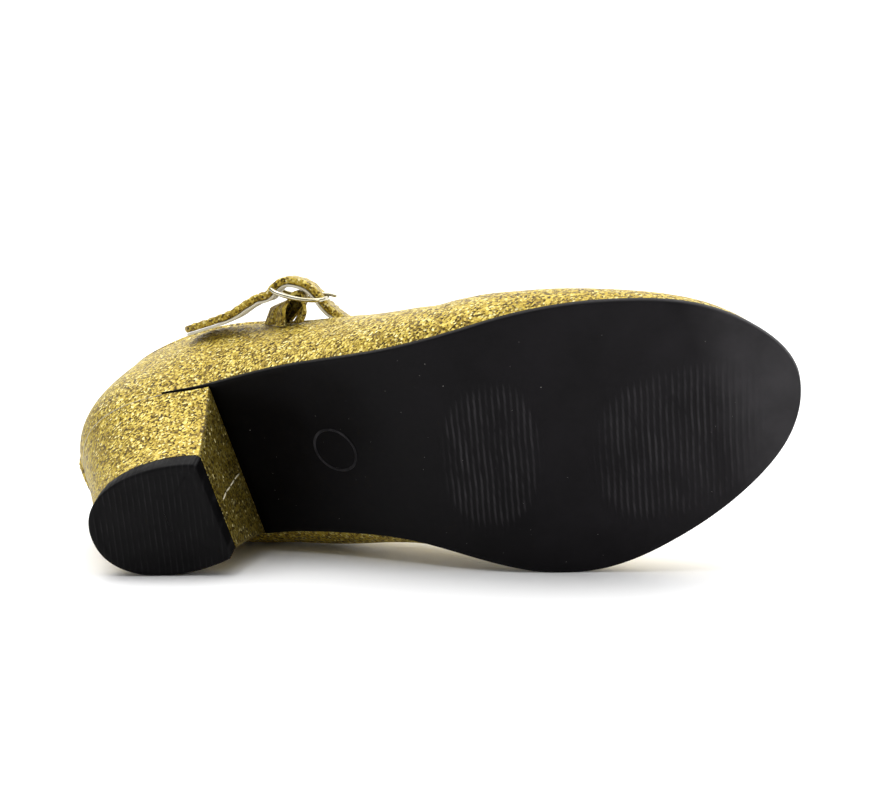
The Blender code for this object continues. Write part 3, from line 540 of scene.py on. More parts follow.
def skived_underside(x):
    """The sole's real underside, which thins out under the heel seat."""
    end = SOLE_END * SHOE_LENGTH
    if x >= HEEL_BREAST:
        return sole_underside(x)
    thickness = SOLE_SKIVE + (SOLE_SHOULDER - SOLE_SKIVE) * max(0.0, x - end) / (HEEL_BREAST - end)
    return feather_height(x) - thickness


def closed_spline_slopes(knots, values):
    """Slopes of the smooth closed cubic spline through the values at the knots."""
    count = len(values)
    matrix = np.zeros((count, count))
    right = np.zeros_like(values)
    for i in range(count):
        before, after = knots[i] - knots[i - 1], knots[i + 1] - knots[i]
        if i == 0:
            before = knots[count] - knots[count - 1]
        matrix[i, i - 1] += 1 / before
        matrix[i, i] += 2 / before + 2 / after
        matrix[i, (i + 1) % count] += 1 / after
        rise_before = (values[i] - values[i - 1]) / before ** 2
        rise_after = (values[(i + 1) % count] - values[i]) / after ** 2
        right[i] = 3 * (rise_before + rise_after)
    return np.linalg.solve(matrix, right)


class ClosedSpline:
    """Smooth closed curve through rows of values, spaced by the distance between its points."""

    def __init__(self, rows, points):
        self.values = np.array(rows, float)
        loop = np.vstack([points, points[:1]])
        steps = np.linalg.norm(np.diff(loop, axis=0), axis=1)
        self.knots = np.concatenate([[0.0], np.cumsum(steps)])
        self.slopes = closed_spline_slopes(self.knots, self.values)
        self.length = self.knots[-1]

    def at(self, distance):
        distance = distance % self.length
        count = len(self.values)
        i = min(int(np.searchsorted(self.knots, distance, side="right")) - 1, count - 1)
        j = (i + 1) % count
        step = self.knots[i + 1] - self.knots[i]
        u = (distance - self.knots[i]) / step
        start = (2 * u ** 3 - 3 * u ** 2 + 1) * self.values[i] + (u ** 3 - 2 * u ** 2 + u) * step * self.slopes[i]
        end = (3 * u ** 2 - 2 * u ** 3) * self.values[j] + (u ** 3 - u ** 2) * step * self.slopes[j]
        return start + end

    def distance_of(self, section):
        """Distance along the curve of a section number, which may lie between two sections."""
        i = int(section)
        return self.knots[i] + (section - i) * (self.knots[i + 1] - self.knots[i])


def section_spline():
    edge = np.array([(s.along * SHOE_LENGTH, s.side * BALL_WIDTH) for s in SECTIONS])
    return ClosedSpline([list(s) for s in SECTIONS], edge)


LAST = section_spline()


def edge_point(distance, margin=0.0):
    """Plan point of the sole's edge, moved out by the margin."""
    ahead, behind = LAST.at(distance + 0.0005), LAST.at(distance - 0.0005)
    along = np.array([(ahead[0] - behind[0]) * SHOE_LENGTH, (ahead[1] - behind[1]) * BALL_WIDTH])
    along /= np.linalg.norm(along)
    row = LAST.at(distance)
    outward = np.array([along[1], -along[0]])
    return np.array([row[0] * SHOE_LENGTH, row[1] * BALL_WIDTH]) + outward * margin, outward


def last_point(distance, up, grow=0.0):
    """Point of the upper's outer face: up is 0 at the sole and 1 at the collar."""
    section = Section(*LAST.at(distance))
    foot, outward = edge_point(distance)
    out = np.array([outward[0], outward[1], 0.0])
    height = section.collar * COLLAR_HEIGHT + section.instep * INSTEP_HEIGHT
    top_x = section.top_along * SHOE_LENGTH
    low = np.array([foot[0], foot[1], feather_height(foot[0])])
    top = np.array([top_x, section.top_side * BALL_WIDTH, feather_height(top_x) + height])
    level = np.array([0.0, 0.0, 1.0])
    run = np.array([low[0] - top[0], low[1] - top[1], 0.0])
    low_handle = low + level * section.rise * height + out * section.flare * BALL_WIDTH
    top_handle = top - level * section.drop * height + out * section.swell * BALL_WIDTH + run * section.pull
    if up < 0:
        point = low + level * up
    else:
        down = 1 - up
        point = (down ** 3 * low + 3 * down ** 2 * up * low_handle + 3 * down * up ** 2 * top_handle + up ** 3 * top)
    return point if grow == 0 else point + last_normal(distance, up) * grow


def last_normal(distance, up):
    """Outward direction of the upper's outer face."""
    step = 0.0006
    up = min(max(up, 0.03), 0.97)
    around = last_point(distance + step, up) - last_point(distance - step, up)
    rising = last_point(distance, up + 0.02) - last_point(distance, up - 0.02)
    normal = np.cross(around, rising)
    return normal / np.linalg.norm(normal)


def buckle_axes():
    """Buckle's centre and its directions: along the strap, out of the quarter, across the strap."""
    along = unit(BUCKLE_ALONG)
    across = unit(np.array(BUCKLE_ACROSS) - along * np.dot(BUCKLE_ACROSS, along))
    outward = np.cross(along, across)
    seat = last_point(LAST.distance_of(BUCKLE_SECTION), BUCKLE_UP)
    return seat + outward * BUCKLE_STANDOFF, along, outward, across


# Upper


UPPER_STEPS = 288
UPPER_LEVELS = 44


def crease_height(distance, up):
    """How far the cloth lies in at its soft creases, and out at its ridges."""
    total = 0.0
    for crease in CREASES:
        middle = LAST.distance_of(crease.section) + crease.lean * (up - crease.up)
        aside = (distance - middle + LAST.length / 2) % LAST.length - LAST.length / 2
        share = (aside / crease.along) ** 2 + ((up - crease.up) / crease.rise) ** 2
        total -= crease.depth * math.exp(-share * 1.6)
    return total


def back_seam(distance):
    """Depth of the closing seam down the back of the upper."""
    aside = (distance + LAST.length / 2) % LAST.length - LAST.length / 2
    return 0.00035 * math.exp(-(aside / 0.0005) ** 2)


def collar_fold(down):
    """The folded collar edge: a fuller roll above its stitch line."""
    roll = 0.00018 * math.exp(-((down - COLLAR_STITCH_DOWN * 0.45) / 0.0009) ** 2)
    line = 0.00028 * math.exp(-((down - COLLAR_STITCH_DOWN) / 0.00035) ** 2)
    return roll - line


def wall_length(distance):
    """Length of the wall's curve from the sole to the collar."""
    points = [last_point(distance, i / 12) for i in range(13)]
    return sum(np.linalg.norm(b - a) for a, b in zip(points, points[1:]))


def upper_surface():
    """Points and outward directions of the outer face, ring by ring from the sole up."""
    spots = [LAST.length * j / UPPER_STEPS for j in range(UPPER_STEPS)]
    lengths = [wall_length(s) for s in spots]
    rings, normals = [], []
    for i in range(UPPER_LEVELS):
        share = i / (UPPER_LEVELS - 1)
        ring, facing = [], []
        for spot, length in zip(spots, lengths):
            top = 1 - UPPER_WALL / 2 / length
            up = top * (share - 0.06 * math.sin(2 * math.pi * share))
            normal = last_normal(spot, up)
            down = (top - up) * length
            fade = smoothstep(0.0, 0.06, up)
            lift = (crease_height(spot, up) - back_seam(spot)) * fade + collar_fold(down)
            ring.append(last_point(spot, up) + normal * lift)
            facing.append(normal)
        rings.append(ring)
        normals.append(facing)
    return np.array(rings), np.array(normals), spots, lengths


UPPER_RINGS, UPPER_NORMALS, UPPER_SPOTS, UPPER_LENGTHS = upper_surface()


def build_upper():
    """Glitter shell with a rolled collar, lined inside, its lower edge on the sole."""
    rings, normals = UPPER_RINGS, UPPER_NORMALS
    half = UPPER_WALL / 2
    layers = [rings[0] - np.array([0, 0, BELOW_FEATHER])] + list(rings)
    rise = rings[-1] - rings[-2]
    rise /= np.linalg.norm(rise, axis=1)[:, None]
    for angle in (30, 60, 90, 120, 150):
        turn = math.radians(angle)
        middle = rings[-1] - normals[-1] * half
        layers.append(middle + normals[-1] * half * math.cos(turn) + rise * half * math.sin(turn))
    outer_rows = len(layers)
    for i in range(UPPER_LEVELS - 1, -1, -1):
        layers.append(rings[i] - normals[i] * UPPER_WALL)
    layers.append(layers[-1] - np.array([0, 0, BELOW_FEATHER]))
    verts = np.array(layers).reshape(-1, 3)
    faces = grid_faces(len(layers), UPPER_STEPS, True)
    last = (len(layers) - 1) * UPPER_STEPS
    for j in range(UPPER_STEPS):
        k = (j + 1) % UPPER_STEPS
        faces.append((last + j, last + k, k, j))
    lining_from = (outer_rows - 1) * UPPER_STEPS
    choose = [1 if i >= lining_from else 0 for i in range(len(faces))]
    piece = add_mesh("glitter_upper", verts, faces, [GLITTER, LINING], choose)
    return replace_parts(piece, "upper")


def surface_point(distance, down, proud):
    """Point on the outer face a given way down from the collar, and its directions."""
    length = wall_length(distance)
    up = 1 - down / length
    point = last_point(distance, up)
    normal = last_normal(distance, up)
    lift = crease_height(distance, up) + collar_fold(down) + proud
    return point + normal * lift, normal


def capsule(verts, faces, start, end, normal, radius, sides=6):
    """One stitch: a short thread that dips at both ends."""
    start, end = np.array(start), np.array(end)
    along = unit(end - start)
    side = unit(np.cross(along, normal))
    base = len(verts)
    stops = [(0.0, 0.35, -1.0), (0.12, 0.85, -0.25), (0.5, 1.0, 0.15), (0.88, 0.85, -0.25), (1.0, 0.35, -1.0)]
    for share, width, lift in stops:
        middle = start + (end - start) * share + normal * radius * lift
        for k in range(sides):
            angle = 2 * math.pi * k / sides
            verts.append(middle + radius * width * (side * math.cos(angle) + normal * math.sin(angle)))
    for r in range(len(stops) - 1):
        for k in range(sides):
            j = (k + 1) % sides
            faces.append((base + r * sides + k, base + r * sides + j,
                          base + (r + 1) * sides + j, base + (r + 1) * sides + k))
    faces.append(tuple(base + k for k in range(sides))[::-1])
    faces.append(tuple(base + (len(stops) - 1) * sides + k for k in range(sides)))


def stitch_line(name, points, normals, material):
    """Stitches along a line of points, spaced by STITCH_LENGTH and STITCH_GAP."""
    points, normals = np.array(points), np.array(normals)
    reach = np.concatenate([[0.0], np.cumsum(np.linalg.norm(np.diff(points, axis=0), axis=1))])
    pitch = STITCH_LENGTH + STITCH_GAP
    count = int(reach[-1] / pitch)
    verts, faces = [], []
    for i in range(count):
        ends = [i * pitch + STITCH_GAP / 2, i * pitch + STITCH_GAP / 2 + STITCH_LENGTH]
        spots = [np.array([np.interp(e, reach, points[:, k]) for k in range(3)]) for e in ends]
        normal = unit([np.interp(np.mean(ends), reach, normals[:, k]) for k in range(3)])
        capsule(verts, faces, spots[0], spots[1], normal, STITCH_RADIUS)
    return add_mesh(name, verts, faces, [material])


def build_collar_stitches():
    line = [surface_point(s, COLLAR_STITCH_DOWN, STITCH_RADIUS * 0.4) for s in UPPER_SPOTS]
    line.append(line[0])
    stitch_line("collar_stitches", [p for p, _ in line], [n for _, n in line], THREAD)


def build_back_strip():
    """Narrow strip of glitter cloth over the back seam, from the collar down to the heel, stitched."""
    half, thick = 0.0034, 0.00055
    rows, columns = 60, 13
    length = wall_length(0.0)
    verts, faces = [], []
    edges = {-1: [], 1: []}
    for i in range(rows):
        down = 0.0009 + (length - 0.0014) * i / (rows - 1)
        up = 1 - down / length
        width = half * (0.80 + 0.35 * smoothstep(0.0, 1.0, 1 - up))
        for j in range(columns):
            share = -1 + 2 * j / (columns - 1)
            spot = width * share
            point = last_point(spot, up)
            normal = last_normal(spot, up)
            edge = 1 - smoothstep(0.80, 1.0, abs(share))
            ends = smoothstep(0.0, 0.03, i / (rows - 1)) * smoothstep(0.0, 0.03, 1 - i / (rows - 1))
            verts.append(point + normal * (thick * edge * ends - 0.00045 * (1 - edge * ends)))
            if j in (2, columns - 3) and 0 < i < rows - 1:
                edges[-1 if j == 2 else 1].append((point + normal * (thick + STITCH_RADIUS * 0.3), normal))
    faces = grid_faces(rows, columns, False)
    add_mesh("back_strip", verts, [f[::-1] for f in faces], [GLITTER])
    for side, line in edges.items():
        name = "back_strip_stitches_" + ("outer" if side < 0 else "inner")
        stitch_line(name, [p for p, _ in line], [n for _, n in line], THREAD)


# Sole


def outline_sides(margin, count=720):
    """The sole's outline as two functions of the length: outer and inner side."""
    loop = np.array([edge_point(LAST.length * i / count, margin)[0] for i in range(count)])
    toe, back = loop[:, 0].argmax(), loop[:, 0].argmin()
    order = (np.arange(count) + back) % count
    loop = loop[order]
    toe = loop[:, 0].argmax()
    outer, inner = loop[:toe + 1], np.vstack([loop[toe:], loop[:1]])[::-1]
    return outer, inner


def rib_wave(x, y):
    """Ribs of the tread from 0 in a groove to 1 on a crest, fading out at the edge of each patch."""
    ahead = x + RIB_LEAN * (y - RIB_PATCHES[0].side)
    wander = ahead + RIB_WANDER * math.sin(330 * y + 40 * x) * math.sin(85 * x + 140 * y)
    wave = 0.0
    for patch in RIB_PATCHES:
        middle = patch.ahead + RIB_LEAN * (patch.side - RIB_PATCHES[0].side)
        reach = (abs(ahead - middle) / patch.length) ** RIB_SQUARENESS
        reach += (abs(y - patch.side) / patch.width) ** RIB_SQUARENESS
        fade = 1 - smoothstep(0.76, 1.08, reach ** (1 / RIB_SQUARENESS))
        wave += fade * (0.5 + 0.5 * math.cos(2 * math.pi * wander / RIB_PITCH))
    return wave


def rib_height(x, y):
    """Height of the ribs, lower where the sole is worn."""
    worn = 0.80 + 0.20 * math.sin(170 * x + 60 * y) * math.sin(110 * y - 90 * x)
    return RIB_DEPTH * worn * rib_wave(x, y)


def tread_swell(x, y):
    """Very low swells of the moulded sole."""
    wave = 0.00010 * math.sin(95 * x + 1.3) * math.sin(120 * y + 0.6)
    return wave + 0.00006 * math.sin(260 * x - 180 * y)


def sole_stations():
    """Lengths at which the sole is cut: close together where it is ribbed, and at both ends."""
    start = SOLE_END * SHOE_LENGTH
    ribs_from, ribs_to = 0.1040, 0.1880
    fine = RIB_PITCH / 6
    stations = list(np.arange(start, ribs_from, 0.0012)) + list(np.arange(ribs_from, ribs_to, fine))
    end = SHOE_LENGTH * max(s.along for s in SECTIONS) + SOLE_MARGIN
    tail = [ribs_to + (end - ribs_to) * math.sin(math.pi / 2 * i / 26) for i in range(27)]
    return stations + tail


def build_outsole():
    """Moulded sole with rounded edges, fine ribs and low swells."""
    outer, inner = outline_sides(SOLE_MARGIN)
    columns = 44
    verts, highlight_and_wear = [], []
    stations = sole_stations()
    end = min(outer[-1, 0], inner[-1, 0]) - 0.00002
    for station in stations:
        x = min(station, end)
        low = np.interp(x, outer[:, 0], outer[:, 1])
        high = np.interp(x, inner[:, 0], inner[:, 1])
        middle, half = (low + high) / 2, max((high - low) / 2, 0.00005)
        bottom, top = skived_underside(x), feather_height(x)
        round_by = min(SOLE_EDGE_ROUND, half * 0.5, (top - bottom) * 0.4)
        ring = [(-half, bottom + round_by), (-(half - round_by * 0.3), bottom + round_by * 0.3)]
        for j in range(columns + 1):
            share = -1 + 2 * j / columns
            ring.append(((half - round_by) * share, bottom))
        ring += [(half - round_by * 0.3, bottom + round_by * 0.3), (half, bottom + round_by)]
        ring += [(half, top - round_by), (half - round_by, top), (-(half - round_by), top), (-half, top - round_by)]
        for y, z in ring:
            fade = smoothstep(0.0, 0.0016, half - abs(y))
            lift = (rib_height(x, middle + y) + tread_swell(x, middle + y) * 1.0) * fade if z == bottom else 0.0
            verts.append((x, middle + y, z - lift + (RIB_DEPTH * 0.5 * fade if z == bottom and lift else 0.0)))
            # Rib crests carry the attribute that pales them: painted highlight with worn streaks.
            crest = rib_wave(x, middle + y) if z == bottom else 0.0
            highlight_and_wear.append(smoothstep(0.55, 1.0, crest) * fade)
    size = columns + 9
    faces = [f[::-1] for f in grid_faces(len(stations), size, True)]
    faces.append(tuple(range(size)))
    faces.append(tuple(range((len(stations) - 1) * size, len(stations) * size))[::-1])
    piece = add_mesh("ribbed_outsole", verts, faces, [RUBBER], angle=50)
    piece.data.attributes.new("highlight_and_wear", "FLOAT", "POINT").data.foreach_set("value", highlight_and_wear)
    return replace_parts(piece, "outsole")


def on_tread(x, y, proud):
    return np.array([x, y, sole_underside(x) - proud])


def build_ring_mark():
    """Plain moulded ring on the waist of the sole."""
    steps, sides = 96, 8
    verts = []
    for i in range(steps):
        angle = 2 * math.pi * i / steps
        for k in range(sides):
            turn = 2 * math.pi * k / sides
            radius = RING_RADIUS + RING_LINE * math.cos(turn)
            spot = on_tread(RING_AHEAD + radius * math.cos(angle), RING_SIDE + radius * math.sin(angle),
                            RING_LINE * 0.7 * math.sin(turn))
            verts.append(spot)
    faces = []
    for i in range(steps):
        j = (i + 1) % steps
        for k in range(sides):
            m = (k + 1) % sides
            faces.append((i * sides + k, j * sides + k, j * sides + m, i * sides + m))
    ring = add_mesh("sole_ring_mark", verts, faces, [RUBBER])
    # The whole ring is paled: painted highlight on its raised line, with worn streaks.
    ring.data.attributes.new("highlight_and_wear", "FLOAT", "POINT").data.foreach_set("value", [0.9] * len(verts))


def build_dust():
    """Pale grains of dust on the tread."""
    generator = np.random.default_rng(7)
    outer, inner = outline_sides(SOLE_MARGIN)
    spots = [(x, y, 0.00020) for x, y in TREAD_SPECKS]
    for _ in range(46):
        x = generator.uniform(0.055, 0.190)
        low = np.interp(x, outer[:, 0], outer[:, 1]) + 0.003
        high = np.interp(x, inner[:, 0], inner[:, 1]) - 0.003
        spots.append((x, generator.uniform(low, high), generator.uniform(0.00006, 0.00013)))
    verts, faces = [], []
    for x, y, size in spots:
        base = len(verts)
        for dx, dy, dz in ((1, 0, 0), (0, 1, 0), (-1, 0, 0), (0, -1, 0), (0, 0, 1), (0, 0, -1)):
            verts.append(on_tread(x + dx * size, y + dy * size * 0.7, 0.00004 + dz * size * 0.4))
        for a, b in ((0, 1), (1, 2), (2, 3), (3, 0)):
            faces.append((base + a, base + b, base + 4))
            faces.append((base + b, base + a, base + 5))
    dust = Nodes("dust_finish", (0.16, 0.155, 0.145), 0.9)
    add_mesh("tread_dust", verts, faces, [dust.material])


# Heel


def heel_foot_side(count):
    """Half outline of the heel's foot, from the breast corner to the middle of its back."""
    half = HEEL_FOOT_WIDTH / 2
    back = HEEL_BREAST - HEEL_FOOT_LENGTH
    corner = np.array([HEEL_BREAST, half])
    first = np.array([HEEL_BREAST - HEEL_FOOT_RUN * HEEL_FOOT_LENGTH, half * (1 + HEEL_FOOT_FULLNESS)])
    second = np.array([back, half * HEEL_FOOT_BACK])
    rear = np.array([back, 0.0])
    points = []
    for i in range(count + 1):
        t = i / count
        points.append((1 - t) ** 3 * corner + 3 * (1 - t) ** 2 * t * first + 3 * (1 - t) * t ** 2 * second + t ** 3 * rear)
    return points


def even_points(points, count):
    """The same open curve with evenly spaced points."""
    points = np.array(points)
    steps = np.linalg.norm(np.diff(points, axis=0), axis=1)
    reach = np.concatenate([[0.0], np.cumsum(steps)])
    spots = np.linspace(0.0, reach[-1], count)
    return np.column_stack([np.interp(spots, reach, points[:, 0]), np.interp(spots, reach, points[:, 1])])


def heel_foot_outline(count):
    side = heel_foot_side(80)
    outer = [np.array([x, -y]) for x, y in side]
    return even_points(outer + side[-2::-1], count)


def heel_seat_outline(count):
    """The sole's edge behind the breast, from the outer corner round to the inner one."""
    loop = [edge_point(LAST.length * i / 900, 0.0)[0] for i in range(900)]
    outer = [p for p in loop if p[0] < HEEL_BREAST and p[1] <= 0]
    inner = [p for p in loop if p[0] < HEEL_BREAST and p[1] > 0]
    outer_corner = np.array([HEEL_BREAST, min(p[1] for p in outer)])
    inner_corner = np.array([HEEL_BREAST, max(p[1] for p in inner)])
    behind = sorted(outer, key=lambda p: -p[0]) + sorted(inner, key=lambda p: p[0])
    return even_points([outer_corner] + behind + [inner_corner], count)


def round_corners(ring, radius):
    """Replace the two breast corners of a heel ring by short arcs."""
    first, last = ring[0], ring[-1]
    inner = [last + (first - last) * s for s in (0.02, 0.06, 0.25, 0.5, 0.75, 0.94, 0.98)]
    start = first + unit(ring[1] - first) * radius
    stop = last + unit(ring[-2] - last) * radius
    body = [p for p in ring[1:-1]]
    return [start] + body + [stop] + inner


def build_heel():
    """Cloth-covered block heel: a D-shaped loft whose flat breast carries painted shade and painted glints."""
    count, levels = 121, 26
    foot, seat = heel_foot_outline(count), heel_seat_outline(count)
    floor = HEEL_TOP_LIFT + CLEARANCE
    verts = []
    for level in range(levels):
        share = level / (levels - 1)
        plan = foot + (seat - foot) * share ** HEEL_WAISTING
        for x, y in round_corners(list(plan), 0.0004):
            end = SOLE_END * SHOE_LENGTH
            top = feather_height(x) if x < end else skived_underside(x) - CLEARANCE
            verts.append((x, y, floor + (top - floor) * share))
    size = count + 7
    faces = grid_faces(levels, size, True)
    # The breast faces take the glitter with painted shade and painted glints.
    choose = [1 if i % size >= count - 1 else 0 for i in range(len(faces))]
    faces.append(tuple(range(size))[::-1])
    faces.append(tuple(range((levels - 1) * size, levels * size)))
    choose += [0, 0]
    piece = add_mesh("covered_heel", verts, faces, [GLITTER, GLITTER_PAINTED_SHADE], choose, 60)
    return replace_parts(piece, "heel_block")


def build_breast_seam():
    """Pale raised edge where the heel's cover meets itself on the breast."""
    points = [(0.0012, 0.0090), (0.0009, 0.0130), (0.0014, 0.0170), (0.0016, 0.0215), (0.0024, 0.0268)]
    verts, faces = [], []
    line = [np.array([HEEL_BREAST, y, z]) for y, z in points]
    normal = np.array([1.0, 0.0, 0.0])
    for a, b in zip(line, line[1:]):
        capsule(verts, faces, a - normal * 0.00002, b - normal * 0.00002, normal, 0.00022, 8)
    add_mesh("heel_breast_seam", verts, faces, [PALE_THREAD])


def build_top_piece():
    """Rubber lift: rounded edge, a flat rim and a slightly sunk, ribbed middle."""
    count = 121
    outline = heel_foot_outline(count)
    centre = np.array([HEEL_BREAST - HEEL_FOOT_LENGTH * 0.46, 0.0])
    loop = round_corners(list(outline), 0.0009)
    loop = np.array(loop)
    verts = []
    edge = 0.0006
    profile = [(1.0, HEEL_TOP_LIFT), (1.0, edge), (0.988, edge * 0.3), (0.965, 0.0), (0.885, 0.0),
               (0.868, 0.00020), (0.80, 0.00022), (0.5, 0.00022), (0.2, 0.00022)]
    for scale, z in profile:
        for point in loop:
            x, y = centre + (point - centre) * scale
            verts.append((x, y, z))
    size = len(loop)
    rows = len(profile)
    faces = [f[::-1] for f in grid_faces(rows, size, True)]
    faces.append(tuple(range(size)))
    faces.append(tuple(range((rows - 1) * size, rows * size))[::-1])
    piece = add_mesh("rubber_top_piece", verts, faces, [HEEL_RUBBER], angle=40)
    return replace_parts(piece, "heel_top_piece")


# Strap


def strap_route():
    """Rows of centre point and outer-face direction, from the inner quarter to the free tip."""
    centre, along, outward, across = buckle_axes()
    half = STRAP_THICKNESS / 2
    root = LAST.distance_of(STRAP_ROOT_SECTION)
    inside = UPPER_WALL + 2 * CLEARANCE + half
    rows = [(last_point(root, up, -inside), last_normal(root, up)) for up in (STRAP_ROOT_LOW, STRAP_ROOT_HIGH)]
    under_bar = FRAME_BOW - FRAME_WIRE / 2 - CLEARANCE - half - STRAP_DIP
    end_bar = FRAME_LENGTH / 2
    start = rows[-1][0]
    goal = centre + along * end_bar + outward * under_bar
    for arch in STRAP_ARCH:
        point = start + (goal - start) * arch.span
        point = point + np.array([arch.ahead * SHOE_LENGTH, 0.0, arch.rise * INSTEP_HEIGHT])
        rows.append((point, unit((arch.face_ahead, arch.face_side, arch.face_up))))
    for run, rise, face_lean in STRAP_OVER_BAR:
        rows.append((centre + along * run + outward * rise, unit(outward + along * face_lean)))
    for run, rise, aside in STRAP_TAIL:
        rows.append((centre + along * run + outward * rise + across * aside, outward))
    return rows


def open_curve(points, count):
    """Evenly spaced points and directions of a smooth curve through the points."""
    points = np.array(points)
    steps = np.sqrt(np.linalg.norm(np.diff(points[:, :3], axis=0), axis=1))
    knots = np.concatenate([[0.0], np.cumsum(steps)])
    slopes = np.gradient(points, knots, axis=0, edge_order=1)
    fine = []
    for u in np.linspace(0.0, knots[-1], 600):
        i = min(int(np.searchsorted(knots, u, side="right")) - 1, len(points) - 2)
        step = knots[i + 1] - knots[i]
        t = (u - knots[i]) / step
        start = (2 * t ** 3 - 3 * t ** 2 + 1) * points[i] + (t ** 3 - 2 * t ** 2 + t) * step * slopes[i]
        end = (3 * t ** 2 - 2 * t ** 3) * points[i + 1] + (t ** 3 - t ** 2) * step * slopes[i + 1]
        fine.append(start + end)
    fine = np.array(fine)
    reach = np.concatenate([[0.0], np.cumsum(np.linalg.norm(np.diff(fine[:, :3], axis=0), axis=1))])
    spots = np.linspace(0.0, reach[-1], count)
    return np.column_stack([np.interp(spots, reach, column) for column in fine.T]), reach[-1]


STRAP_STATIONS = 220


def strap_frames():
    route = strap_route()
    curve, length = open_curve([np.concatenate([point, face]) for point, face in route], STRAP_STATIONS)
    directions = np.gradient(curve[:, :3], axis=0)
    rows = []
    for i in range(STRAP_STATIONS):
        travel = unit(directions[i])
        face = unit(curve[i, 3:] - travel * np.dot(curve[i, 3:], travel))
        level = np.cross(travel, unit(BUCKLE_ACROSS))
        level = unit(level) * math.copysign(1.0, np.dot(level, face))
        share = smoothstep(0.50, 0.62, i / (STRAP_STATIONS - 1))
        face = unit(face * (1 - share) + level * share)
        to_tip = length * (1 - i / (STRAP_STATIONS - 1))
        inset = max(0.0, 1 - to_tip / STRAP_TIP_LENGTH)
        half = STRAP_WIDTH / 2 * math.sqrt(max(0.0, 1 - (0.92 * inset) ** 2))
        rows.append((curve[i, :3], np.cross(travel, face), face, half))
    return rows, length


STRAP_ROWS, STRAP_LENGTH = strap_frames()


def strap_layer(name, low, high, material, shrink):
    """One layer of the strap between two heights over its middle, with rounded edges."""
    corner = (high - low) * 0.42
    verts = []
    for point, across, face, half in STRAP_ROWS:
        wide = half - shrink
        section = []
        for x, z, start in ((wide - corner, high - corner, 0), (corner - wide, high - corner, 90),
                            (corner - wide, low + corner, 180), (wide - corner, low + corner, 270)):
            for k in range(4):
                angle = math.radians(start + 30 * k)
                section.append((x + corner * math.cos(angle), z + corner * math.sin(angle)))
            if start == 0:
                section += [((wide - corner) * s, high) for s in (0.6, 0.2, -0.2, -0.6)]
            if start == 180:
                section += [((wide - corner) * s, low) for s in (-0.6, -0.2, 0.2, 0.6)]
        verts += [point + across * x + face * z for x, z in section]
    size = 24
    faces = grid_faces(len(STRAP_ROWS), size, True)
    faces.append(tuple(range(size))[::-1])
    faces.append(tuple(range((len(STRAP_ROWS) - 1) * size, len(STRAP_ROWS) * size)))
    return add_mesh(name, verts, faces, [material])


def build_strap():
    """Gold layer over a cream lining, with stitched edges and two holes drawn as dark discs of painted shade."""
    half = STRAP_THICKNESS / 2
    split = -half + STRAP_THICKNESS * LINING_SHARE
    gold = strap_layer("strap_gold", split + LAYER_GAP, half, GLITTER, 0.0)
    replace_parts(gold, "strap")
    lining = strap_layer("strap_lining", -half, split, LINING, 0.0002)
    for side in (-1, 1):
        line = [(p + a * side * (h - 0.0013) + f * half, f)
                for p, a, f, h in STRAP_ROWS[3:-5] if h > 0.0030]
        name = "strap_stitches_" + ("outer" if side < 0 else "inner")
        stitch_line(name, [p for p, _ in line], [f for _, f in line], THREAD)
    # Two holes near the tip, drawn as dark discs of painted shade on the strap's face.
    painted_hole_spots = []
    dark = Nodes("painted_hole_shade_finish", (0.015, 0.012, 0.008), 0.9)
    tip_reach = (0.0105, 0.0165)
    for reach in tip_reach:
        i = int((1 - reach / STRAP_LENGTH) * (STRAP_STATIONS - 1))
        painted_hole_spots.append(STRAP_ROWS[i])
    verts, faces = [], []
    for point, across, face, _ in painted_hole_spots:
        along = np.cross(face, across)
        base = len(verts)
        sides = 16
        for radius, lift in ((0.00085, 0.0), (0.00075, 0.00010), (0.0, 0.00002)):
            for k in range(sides):
                angle = 2 * math.pi * k / sides
                spot = point + face * (half + lift) + radius * (across * math.cos(angle) + along * math.sin(angle))
                verts.append(spot)
        for r in range(2):
            for k in range(sides):
                m = (k + 1) % sides
                faces.append((base + r * sides + k, base + r * sides + m,
                              base + (r + 1) * sides + m, base + (r + 1) * sides + k))
    add_mesh("strap_holes_painted_shade", verts, faces, [dark.material])
    return gold, lining


# Buckle


def tube(name, points, radius, closed, material, sides=14, round_ends=True):
    """A wire along the points as one closed mesh."""
    points = [np.array(p, float) for p in points]
    count = len(points)
    verts, faces = [], []
    previous = None
    radii = [radius] * count
    if not closed and round_ends:
        first, last = points[0] - unit(points[1] - points[0]) * radius * 0.7, points[-1]
        last = last + unit(points[-1] - points[-2]) * radius * 0.7
        points = [first] + points + [last]
        radii = [radius * 0.45] + radii + [radius * 0.45]
        count += 2
    for i in range(count):
        if closed:
            travel = unit(points[(i + 1) % count] - points[i - 1])
        else:
            travel = unit(points[min(i + 1, count - 1)] - points[max(i - 1, 0)])
        side = previous if previous is not None else np.array([0.3, 0.5, 0.8])
        side = unit(side - travel * np.dot(side, travel))
        other = np.cross(travel, side)
        previous = side
        for k in range(sides):
            angle = 2 * math.pi * k / sides
            verts.append(points[i] + radii[i] * (side * math.cos(angle) + other * math.sin(angle)))
    faces = grid_faces(count, sides, True)
    if closed:
        first, last = 0, (count - 1) * sides
        gaps = [np.linalg.norm(verts[last] - verts[k]) for k in range(sides)]
        turn = int(np.argmin(gaps))
        for k in range(sides):
            m = (k + 1) % sides
            faces.append((last + k, last + m, (m + turn) % sides, (k + turn) % sides))
    else:
        faces.append(tuple(range(sides))[::-1])
        faces.append(tuple(range((count - 1) * sides, count * sides)))
    return add_mesh(name, verts, faces, [material], angle=60)


